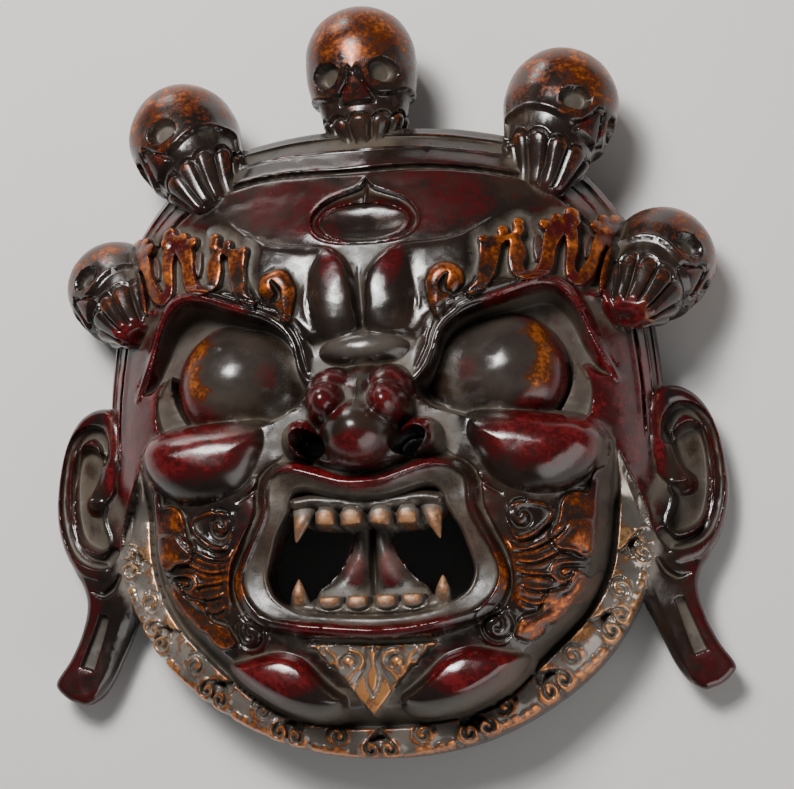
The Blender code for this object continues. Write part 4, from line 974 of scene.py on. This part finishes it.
def smoothAndThin(obj):
    smooth = obj.modifiers.new("Smooth", "SMOOTH")
    smooth.factor = quality["smoothing"]
    smooth.iterations = quality["smoothRounds"]
    applyAll(obj)
    obj.modifiers.new("Triangulate", "TRIANGULATE")
    applyAll(obj)
    if len(obj.data.polygons) > quality["triangles"]:
        obj.modifiers.new("Decimate", "DECIMATE").ratio = quality["triangles"] / len(obj.data.polygons)
        applyAll(obj)


def centreInFrame(obj):
    # the middle of the mask's box stands on the origin, as in the frame
    points = readPoints(obj)
    middle = (points.min(0) + points.max(0)) / 2
    writePoints(obj, (points - [middle[0], middle[1], 0]) / mm)
    return middle[:2] / mm


print("carving the face")
mask = addFace()
print("skulls, ears and fangs")
for place in skullShape["places"]:
    combine(mask, addSkull(*place), "UNION")
for side in (-1, 1):
    combine(mask, addEar(side), "UNION")
    for path, size in fangShapes:
        fang = addBall(quality["fang"], lambda points: fangPlaces(points, path, size), side)
        combine(mask, fang, "UNION")
combine(mask, addBall(quality["hollow"], hollowPlaces), "DIFFERENCE")
print("triangles before thinning", len(mask.data.polygons))
smoothAndThin(mask)
shift = centreInFrame(mask)
mask.data.name = "carvedMask"
print("triangles", len(mask.data.polygons), "box", readPoints(mask).min(0), readPoints(mask).max(0))
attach(mask, "root")
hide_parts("mask")


# ---- where the gilding, the red, the dust, the painted sheen and the painted shade lie, kept as attributes of the mesh's points

paintedOvals = {  # centre, radii and amount of each patch
    # the pale patches are painted sheen, on the eyeballs, on the knob between the brows and on the tongue
    "paleAndSheen": [((84, -2), (34, 30), 0.06), ((0, 6), (27, 9), 0.14), ((11, -112), (8, 15), 0.16)],
    "redness": [((17, -27), (20, 20), 0.85), ((35, -46), (17, 14), 0.9), ((0, -58), (20, 12), 0.9),
                ((105, -50), (50, 24), 1.0), ((17, 60), (10, 27), 0.85), ((58, -180), (36, 20), 1.0),
                ((132, 50), (50, 76), 1.0), ((146, -25), (36, 70), 1.0), ((40, 92), (46, 30), 0.8),
                ((66, -110), (18, 50), 0.6), ((60, 118), (90, 30), 0.5), ((11, -120), (9, 17), 1.15),
                ((30, -165), (60, 14), 0.5), ((58, -7), (9, 11), 0.85), ((70, 72), (40, 16), 0.25),
                ((14, -10), (20, 8), 0.6)],
}


def neighbours(mesh):
    ends = np.empty(len(mesh.edges) * 2, np.int32)
    mesh.edges.foreach_get("vertices", ends)
    return ends.reshape(-1, 2)


def spread(values, ends, rounds):
    # averages each point with the points joined to it, round after round
    count = np.bincount(ends.ravel(), minlength=len(values)).astype(float)
    values = values.copy()
    for _ in range(rounds):
        columns = values.reshape(len(values), -1)
        total = np.stack([np.bincount(ends[:, 0], columns[ends[:, 1], k], len(values))
                          + np.bincount(ends[:, 1], columns[ends[:, 0], k], len(values))
                          for k in range(columns.shape[1])], 1)
        values = ((columns + total) / (count[:, None] + 1)).reshape(values.shape)
    return values


def heights(obj, ends, rounds):
    # how far each point stands out of its surroundings, in mm
    points = readPoints(obj) / mm
    normals = np.empty(len(obj.data.vertices) * 3, np.float32)
    obj.data.vertices.foreach_get("normal", normals)
    return ((points - spread(points, ends, rounds)) * normals.reshape(-1, 3)).sum(1)


def soft(value, low, high):
    return ease((value - low) / (high - low))


class Painting:
    # the mask's points in mm, and the share of each finish on them, painted sheen and painted shade among
    # them

    def __init__(self, obj, shift):
        self.points = readPoints(obj) / mm + [shift[0], shift[1], 0]
        self.ends = neighbours(obj.data)
        self.x, self.y, self.z = np.abs(self.points[:, 0]), self.points[:, 1], self.points[:, 2]
        self.fine, self.broad = heights(obj, self.ends, 3), heights(obj, self.ends, 25)
        self.deep = depthIn(self.x, self.y, outline, 60)
        self.rim = nearest(self.x, self.y, outline, 60)[0]
        self.head = (self.deep > -1.5) & (self.z > 6)
        self.fields = {name: np.zeros(len(self.x)) for name in ("gilding", "paleAndSheen", "redness")}
        self.fields["dust"] = 0.5 * soft(-self.fine, 0.03, 0.4) + 0.65 * soft(-self.broad, 0.3, 2.2)
        self.fields["wear"] = 0.5 + 0.5 * np.clip(0.9 * self.fine / 0.3 + 0.5 * self.broad / 1.5, -1, 1)
        self.fields["blackAndShade"] = np.zeros(len(self.x))

    def tint(self, name, where, amount=1.0):
        np.maximum(self.fields[name], where * amount, out=self.fields[name])

    def within(self, shape):
        return self.face * soft(depthIn(self.x, self.y, shape), -1.5, 0.5)


def findSkulls(p):
    p.skulls = np.zeros(len(p.x), bool)
    p.crowns, p.sockets, p.noses = (np.zeros(len(p.x)) for _ in range(3))
    for centre, angles, scale in skullShape["places"]:
        turn = np.array(Euler([math.radians(value) for value in angles]).to_matrix())
        local = (p.points - centre) @ turn / scale
        reach = np.sqrt((local[:, 0] / 37) ** 2 + ((local[:, 1] + 15) / 56) ** 2 + (local[:, 2] / 39) ** 2)
        inside = (reach < 1.04) & ~(p.head & (p.deep > 4) & (p.z > 60) & (reach > 0.99))
        p.skulls |= inside
        p.crowns = np.where(inside, soft(local[:, 1], -26, 26), p.crowns)
        around = np.degrees(np.arctan2(np.abs(local[:, 0]), local[:, 2]))
        p.sockets += inside * ease(3 * socketDepth(around, local[:, 1]))
        p.noses += inside * (around < 19) * bump((local[:, 1] + 24) / 9)
    p.face = p.head & ~p.skulls


def paintCrown(p):
    # worn gold on the skulls' tops, red on their noses, dust in their sockets and in the band's step
    p.tint("gilding", p.skulls * (0.32 + 0.27 * p.crowns) * (1 - p.sockets))
    p.tint("redness", p.skulls * (0.25 + 0.35 * p.crowns))
    p.tint("redness", p.noses)
    p.tint("dust", p.sockets, 0.95)
    band, angle = bandShare(p.x, p.y, p.rim), bearing(p.x, p.y)
    p.tint("gilding", p.face * (angle > 0) * (band > 0.2) * (band < 0.56), 0.5)
    p.tint("dust", p.face * (band > 0.24) * (band < 0.5) * (angle > -2), 0.5)


def paintFlames(p):
    # worn gold on the brows and the cheeks' flames, turning red outwards
    flames, curl = browGap(p.x, p.y), curlGap(p.x, p.y)
    brow = p.face * (p.y > 20) * soft(np.maximum(flames, curl), -0.8, 0.4)
    p.tint("gilding", brow * (0.4 + 0.2 * soft(p.fine, 0.05, 0.3) + 0.12 * soft(p.y, 50, 66)))
    p.tint("redness", brow * soft(p.x, 112, 140), 0.9)
    p.tint("dust", p.face * (flames < 0) * soft(flames, -9, -5) * (p.y > 44) * (p.x > 60), 0.7)
    for name in ("upper", "lower"):
        flame = p.within(curve(cheekFlames[name], 4, True))
        p.tint("gilding", flame * (1 - 0.45 * soft(p.x, 118, 134)), 0.62)
        p.tint("redness", flame * soft(p.x, 112, 130), 0.8)
    p.tint("gilding", p.within(curve(cheekFlames["almond"], 4, True)), 0.45)
    p.tint("gilding", p.face * soft(28 - np.hypot(p.x - 92, p.y + 124), 0, 8), 0.6)


def paintFringe(p):
    # pale gold on the fringe, browner and dustier towards the chin, and on the goatee
    inner, _, side = nearest(p.x, p.y, curve(beardFringe["inner"]), 60)
    beyond = nearest(p.x, p.y, curve(beardFringe["tail"]), 60)[2]
    wall = p.face & (beyond > 0) & (p.y > -103) & (p.y < -50)
    front = byStep(bearing(p.x, p.y), headShape["edge"]) - 9
    fringe = p.face * (side > 0) * (p.y < -56) * ~wall * soft(p.z, front - 3, front + 1)
    p.fringe = fringe * soft(p.deep, -0.5, 0.7)
    p.low = soft(-p.y, 120, 200)
    shine = 0.08 + 0.6 * soft(p.fine, 0.02, 0.22) + 0.12 * soft(12 - p.rim, -3, 3)
    p.tint("gilding", p.fringe * shine)
    p.tint("paleAndSheen", p.fringe * (1.0 - 0.75 * p.low))
    p.tint("dust", p.fringe * (p.z > 30), 0.25)
    p.tint("redness", wall)
    valley = p.face * (side < 0) * (inner < 15) * (p.y < -50)
    p.tint("dust", valley * soft(15 - inner, 0, 6), 0.8)
    leaf = p.within(bothSides(goatee["outline"]))
    p.tint("gilding", leaf * (0.3 + 0.65 * soft(p.fine, 0, 0.25)))
    p.tint("paleAndSheen", leaf, 0.5)


def paintEyes(p):
    # a gilt crescent at the outer side of each pupil, red beyond it, dust in the corners
    px, py = eyeShape["pupil"]
    away = np.hypot(p.x - px, p.y - py)
    outwards = (p.x - px) / np.maximum(away, 1)
    ball = p.face * (oval(p.x, p.y, eyeShape["ball"], eyeShape["radii"]) > 0)
    crescent = ball * soft(outwards, 0.25, 0.65)
    p.tint("gilding", crescent * soft(away, 13, 17) * soft(-away, -31, -23), 0.7)
    p.tint("redness", ball * soft(away, 20, 26) * soft(outwards, -0.2, 0.4))
    p.tint("blackAndShade", ball * soft(18 - away, 0, 5), 0.4)
    p.tint("dust", ball, 0.15)
    p.tint("dust", ball * soft(np.hypot(p.x - 84, p.y + 2), 22, 36) * soft(96 - p.x, 0, 20), 0.5)
    p.tint("dust", p.within(curve(eyeShape["white"], 4, True)), 0.85)
    lid = nearest(p.x, p.y, curve([(x, y) for x, y, _ in eyeShape["lid"]]), 12)[0]
    p.tint("redness", p.face * soft(-lid, -5, -2) * soft(p.x, 62, 74), 1.1)


def paintMouth(p):
    # bone-coloured gold on the teeth and fangs, red on the lips, dust on the gums, painted shade in black
    # deep inside the mouth behind them
    inner, lip = bothSides(curve(mouthShape["inner"], 4)), bothSides(curve(mouthShape["lip"], 5))
    inMouth = depthIn(p.x, p.y, inner, 60)
    for centre, (half, tall), _, up in mouthShape["teeth"]:
        tooth = p.face * (np.abs(p.x - centre[0]) < half + 0.4) * (np.abs(p.y - centre[1]) < tall + 0.4)
        shine = bump(np.hypot((p.x - centre[0]) / half, (p.y - centre[1] + 2 * up) / tall) / 1.3)
        p.tint("gilding", tooth * (0.2 + 0.75 * shine))
        p.tint("paleAndSheen", tooth, 0.5)
    upper = nearest(p.x, p.y, np.array([(38, -84), (41, -106)]), 9)[0] < 6
    lower = nearest(p.x, p.y, np.array([(39, -142), (41, -126)]), 9)[0] < 5
    fangs = p.face & (p.z > 60) & ((p.y < -87) & upper | lower)
    p.tint("gilding", fangs * (inMouth > -2), 0.62)
    p.tint("paleAndSheen", fangs, 0.5)
    p.tint("redness", p.face * soft(-nearest(p.x, p.y, lip, 12)[0], -7, -2) * soft(62 - p.x, 0, 25), 1.15)
    p.tint("dust", p.face * (depthIn(p.x, p.y, lip, 40) > 2) * (p.z > 96), 0.62)
    tongue = depthIn(p.x, p.y, bothSides(mouthShape["tongue"])) > 0
    p.tint("dust", p.face * tongue * (p.z > 74) * (1 - bump((p.x - 11) / 8)), 0.55)
    # painted shade: the deep inside of the mouth is painted black
    p.tint("blackAndShade", p.face & (inMouth > -1) & (p.z < 74))


def paintSkin(p):
    # red patches, silvery patches of painted sheen, dust beside the nose and between the brows, painted
    # shade in black in the deepest hollows, in the nostrils and at the back rim
    for name, patches in paintedOvals.items():
        for centre, radii, amount in patches:
            p.tint(name, p.face * np.clip(1.7 * oval(p.x, p.y, centre, radii), 0, 1), amount)
    ears = (p.x > 150) & (p.y < -8) & ~p.head & ~p.skulls
    p.tint("redness", ears * soft(p.x, 168, 182), 0.7)
    nostrils = oval(p.x, p.y, nostril["middle"], nostril["radii"], nostril["turn"]) > 0.02
    # painted shade: black in the nostrils and on the lowest points by the back rim
    p.tint("blackAndShade", p.face & nostrils | (p.z < 6))
    # painted shade: black in the deepest hollows, but not in the skulls' sockets nor on the fringe
    p.tint("blackAndShade", soft(-p.broad, 2.5, 7.0) * (1 - p.sockets) * (1 - p.fringe), 0.5)
    p.tint("dust", p.face * np.clip(2 * oval(p.x, p.y, (47, -46), (9, 20)), 0, 1), 0.9)
    p.tint("dust", p.face * bump(np.hypot(p.x / 16, (p.y - 62) / 11) / 1.4), 0.75)
    p.tint("dust", p.face * bump(p.x / 4) * (p.y > -38) * (p.y < 60), 0.7)


def paintMask(obj, shift):
    p = Painting(obj, shift)
    for paint in (findSkulls, paintCrown, paintFlames, paintFringe, paintEyes, paintMouth, paintSkin):
        paint(p)
    # less dust where it is black or painted shade, in the third eye and on the upper fringe
    dust = p.fields["dust"]
    dust *= 1 - 0.7 * p.fields["blackAndShade"]
    dust *= 1 - 0.35 * (depthIn(p.x, p.y, bothSides(thirdEye["rim"])) > 0)
    dust *= 1 - 0.6 * p.fringe * (1 - p.low)
    for name, values in p.fields.items():
        attribute = obj.data.attributes.new(name, "FLOAT", "POINT")
        attribute.data.foreach_set("value", np.clip(spread(values, p.ends, 1), 0, 1).astype(np.float32))


# ---- the lacquer: dark over oxblood over gold, rubbed through on what stands out, dusty in the hollows

lacquer = {
    "dark": (0.009, 0.0055, 0.0045), "brown": (0.024, 0.013, 0.0085), "blackAndShade": (0.003, 0.002, 0.002),
    "red": (0.040, 0.0018, 0.0022), "redBright": (0.10, 0.005, 0.006),
    "gold": (0.44, 0.112, 0.015), "goldDeep": (0.11, 0.022, 0.005),
    "paleGold": (0.68, 0.38, 0.17), "paleDeep": (0.25, 0.12, 0.06), "silver": (0.44, 0.385, 0.335),
    "dust": (0.050, 0.040, 0.029), "tan": (0.078, 0.059, 0.040),
    "clouds": 22, "blotches": 75, "flecks": 330, "grain": 1100,
    "polished": 0.13, "dull": 0.23, "goldRough": 0.28, "dustRough": 0.62, "fleckRough": 0.07,
    "metal": 0.6, "specular": 0.6, "bumpStrength": 0.27, "bumpDepth": 0.0006,
}


class Nodes:
    # short ways to add and join shader nodes

    def __init__(self, material):
        self.tree = material.node_tree

    def put(self, socket, value):
        if isinstance(value, bpy.types.NodeSocket):
            self.tree.links.new(value, socket)
        elif value is not None:
            socket.default_value = value

    def attribute(self, name):
        node = self.tree.nodes.new("ShaderNodeAttribute")
        node.attribute_name = name
        return node.outputs["Fac"]

    def math(self, operation, a, b=None, c=None):
        node = self.tree.nodes.new("ShaderNodeMath")
        node.operation = operation
        for socket, value in zip(node.inputs, (a, b, c)):
            self.put(socket, value)
        return node.outputs[0]

    def noise(self, vector, scale, detail, roughness=0.6):
        node = self.tree.nodes.new("ShaderNodeTexNoise")
        values = {"Vector": vector, "Scale": scale, "Detail": detail, "Roughness": roughness}
        for name, value in values.items():
            self.put(node.inputs[name], value)
        return node.outputs["Fac"]

    def steps(self, value, low, high, toLow=0.0, toHigh=1.0):
        node = self.tree.nodes.new("ShaderNodeMapRange")
        node.interpolation_type = "SMOOTHSTEP"
        values = {"Value": value, "From Min": low, "From Max": high, "To Min": toLow, "To Max": toHigh}
        for name, number in values.items():
            self.put(node.inputs[name], number)
        return node.outputs["Result"]

    def mix(self, share, a, b):
        node = self.tree.nodes.new("ShaderNodeMix")
        node.data_type = "RGBA"
        for socket, value in ((node.inputs[0], share), (node.inputs[6], a), (node.inputs[7], b)):
            self.put(socket, (*value, 1) if isinstance(value, tuple) else value)
        return node.outputs[2]

    def between(self, share, a, b):
        node = self.tree.nodes.new("ShaderNodeMix")
        for socket, value in ((node.inputs[0], share), (node.inputs[2], a), (node.inputs[3], b)):
            self.put(socket, value)
        return node.outputs[0]


def lacquerMaterial():
    material = bpy.data.materials.new("wornLacquer")
    material.use_nodes = True
    n = Nodes(material)
    shader = next(node for node in material.node_tree.nodes if node.type == "BSDF_PRINCIPLED")
    where = n.tree.nodes.new("ShaderNodeTexCoord").outputs["Object"]
    gilding, paleAndSheen, redness, dust, wear, blackAndShade = (
        n.attribute(name) for name in ("gilding", "paleAndSheen", "redness", "dust", "wear", "blackAndShade"))
    cloud = n.noise(where, lacquer["clouds"], 5)
    blotch = n.noise(where, lacquer["blotches"], 6, 0.65)
    fleck = n.noise(where, lacquer["flecks"], 5, 0.7)
    grain = n.noise(where, lacquer["grain"], 3, 0.7)

    color = n.mix(n.steps(cloud, 0.35, 0.7), lacquer["dark"], lacquer["brown"])
    redNoise = n.math("ADD", n.math("MULTIPLY", blotch, 0.9), n.math("MULTIPLY", fleck, 0.9))
    redLevel = n.math("MULTIPLY_ADD", wear, 0.2, redNoise)
    redLevel = n.math("ADD", n.math("MULTIPLY", redness, 0.7), redLevel)
    redColor = n.mix(n.steps(redLevel, 1.7, 1.95), lacquer["red"], lacquer["redBright"])
    color = n.mix(n.steps(redLevel, 1.3, 1.75), color, redColor)
    # silver where the gilding is pale, and silver as painted sheen where the pale patches lie
    color = n.mix(n.math("MULTIPLY", paleAndSheen, n.steps(cloud, 0.3, 0.6, 0.6, 1.0)), color, lacquer["silver"])
    goldNoise = n.math("ADD", n.math("MULTIPLY", blotch, 1.2), n.math("MULTIPLY", fleck, 1.3))
    goldLevel = n.math("MULTIPLY_ADD", wear, 0.55, goldNoise)
    goldLevel = n.math("ADD", n.math("MULTIPLY", gilding, 0.9), goldLevel)
    goldShare = n.steps(goldLevel, 2.05, 2.34)
    rich = n.steps(goldLevel, 2.25, 2.62)
    deepGold = n.mix(paleAndSheen, lacquer["goldDeep"], lacquer["paleDeep"])
    goldColor = n.mix(rich, deepGold, n.mix(paleAndSheen, lacquer["gold"], lacquer["paleGold"]))
    color = n.mix(goldShare, color, goldColor)
    dustNoise = n.math("ADD", n.math("MULTIPLY", blotch, 0.6), n.math("MULTIPLY", grain, 0.5))
    dustShare = n.math("ADD", n.math("MULTIPLY", dust, 0.9), dustNoise)
    dustShare = n.steps(dustShare, 0.75, 1.5, 0.0, 0.9)
    dustColor = n.mix(n.steps(cloud, 0.4, 0.65), lacquer["dust"], lacquer["tan"])
    color = n.mix(dustShare, color, dustColor)
    # black for the pupils, and painted shade in black in the mouth, the nostrils, the deepest hollows and
    # at the back rim
    n.put(shader.inputs["Base Color"], n.mix(blackAndShade, color, lacquer["blackAndShade"]))
    bare = n.math("SUBTRACT", 1.0, dustShare)
    # metallic where gilded or pale, which makes the painted sheen shine too
    metal = n.math("MULTIPLY", n.math("MAXIMUM", goldShare, n.math("MULTIPLY", paleAndSheen, 1.3)), bare)
    n.put(shader.inputs["Metallic"], n.math("MULTIPLY", metal, lacquer["metal"]))
    rough = n.steps(cloud, 0.3, 0.7, lacquer["polished"], lacquer["dull"])
    rough = n.between(goldShare, rough, lacquer["goldRough"])
    rough = n.between(dustShare, rough, lacquer["dustRough"])
    n.put(shader.inputs["Roughness"], n.math("MULTIPLY_ADD", fleck, lacquer["fleckRough"], rough))
    shader.inputs["Specular IOR Level"].default_value = lacquer["specular"]
    height = n.math("ADD", n.math("MULTIPLY", blotch, 0.8), n.math("MULTIPLY", fleck, 0.5))
    height = n.math("MULTIPLY_ADD", grain, 0.12, height)
    height = n.math("MULTIPLY_ADD", goldShare, -0.25, height)
    unevenness = n.tree.nodes.new("ShaderNodeBump")
    unevenness.inputs["Strength"].default_value = lacquer["bumpStrength"]
    unevenness.inputs["Distance"].default_value = lacquer["bumpDepth"]
    n.put(unevenness.inputs["Height"], height)
    n.put(shader.inputs["Normal"], unevenness.outputs["Normal"])
    return material


# ---- floor, light and camera

studio = {
    "floorSize": 6, "floorLevel": -0.0005, "floorColor": (0.62, 0.61, 0.6), "floorRough": 0.7,
    "worldColor": (0.62, 0.64, 0.66, 1), "worldStrength": 0.14, "aim": (0, 0, 0.05),
    "lights": [  # name, place, size, power and colour
        ("keyLight", (-0.36, 0.64, 1.5), (0.6, 0.6), 34, (1, 0.99, 0.97)),
        ("sparkLight", (-0.34, 0.6, 1.45), (0.2, 0.2), 10, (1, 0.99, 0.97)),
        ("topLight", (-0.6, 1.4, 0.22), (0.5, 0.3), 5, (1, 0.98, 0.95)),
        ("lowLight", (0.95, -1.0, 0.5), (1.5, 0.9), 11, (1, 0.97, 0.94)),
    ],
}
view = {"aside": 6.978, "below": 9.510, "roll": 1.293, "away": 1267.8, "target": (12.45, -14.97, 60),
        "lens": 96.06, "sensor": 36}


def plainMaterial(name, color, roughness):
    material = bpy.data.materials.new(name)
    material.use_nodes = True
    shader = next(node for node in material.node_tree.nodes if node.type == "BSDF_PRINCIPLED")
    shader.inputs["Base Color"].default_value = (*color, 1)
    shader.inputs["Roughness"].default_value = roughness
    return material


def addFloor():
    bpy.ops.mesh.primitive_plane_add(size=studio["floorSize"], location=(0, 0, studio["floorLevel"]))
    floor = bpy.context.object
    floor.name = "floor"
    floor.data.materials.append(plainMaterial("paleFloor", studio["floorColor"], studio["floorRough"]))


def addSoftLight(name, place, size, power, color):
    bpy.ops.object.light_add(type="AREA", location=place)
    light = bpy.context.object
    light.name = name
    light.rotation_euler = (Vector(studio["aim"]) - Vector(place)).to_track_quat("-Z", "Y").to_euler()
    light.data.shape = "RECTANGLE"
    light.data.size, light.data.size_y = size
    light.data.energy = power
    light.data.color = color


def addCamera():
    aside, below, roll = (math.radians(view[name]) for name in ("aside", "below", "roll"))
    back = Vector((math.sin(aside) * math.cos(below), -math.sin(below), math.cos(aside) * math.cos(below)))
    right = Vector((0, 1, 0)).cross(back).normalized()
    up = back.cross(right)
    cosine, sine = math.cos(roll), math.sin(roll)
    rows = (right * cosine - up * sine, right * sine + up * cosine, back)
    place = (Vector(view["target"]) + back * view["away"]) * mm
    bpy.ops.object.camera_add(location=place, rotation=Matrix(rows).transposed().to_euler())
    camera = bpy.context.object
    camera.data.lens = view["lens"]
    camera.data.sensor_width = view["sensor"]
    bpy.context.scene.camera = camera


def addLights():
    world = bpy.data.worlds.new("studio")
    world.use_nodes = True
    background = world.node_tree.nodes["Background"]
    background.inputs["Color"].default_value = studio["worldColor"]
    background.inputs["Strength"].default_value = studio["worldStrength"]
    bpy.context.scene.world = world
    for light in studio["lights"]:
        addSoftLight(*light)


print("colour regions")
paintMask(mask, shift)
mask.data.materials.clear()
mask.data.materials.append(lacquerMaterial())
onlySelect(mask)
bpy.ops.object.shade_smooth_by_angle(angle=math.radians(quality["sharpEdge"]))
print("floor, lights and camera")
addFloor()
addLights()
addCamera()
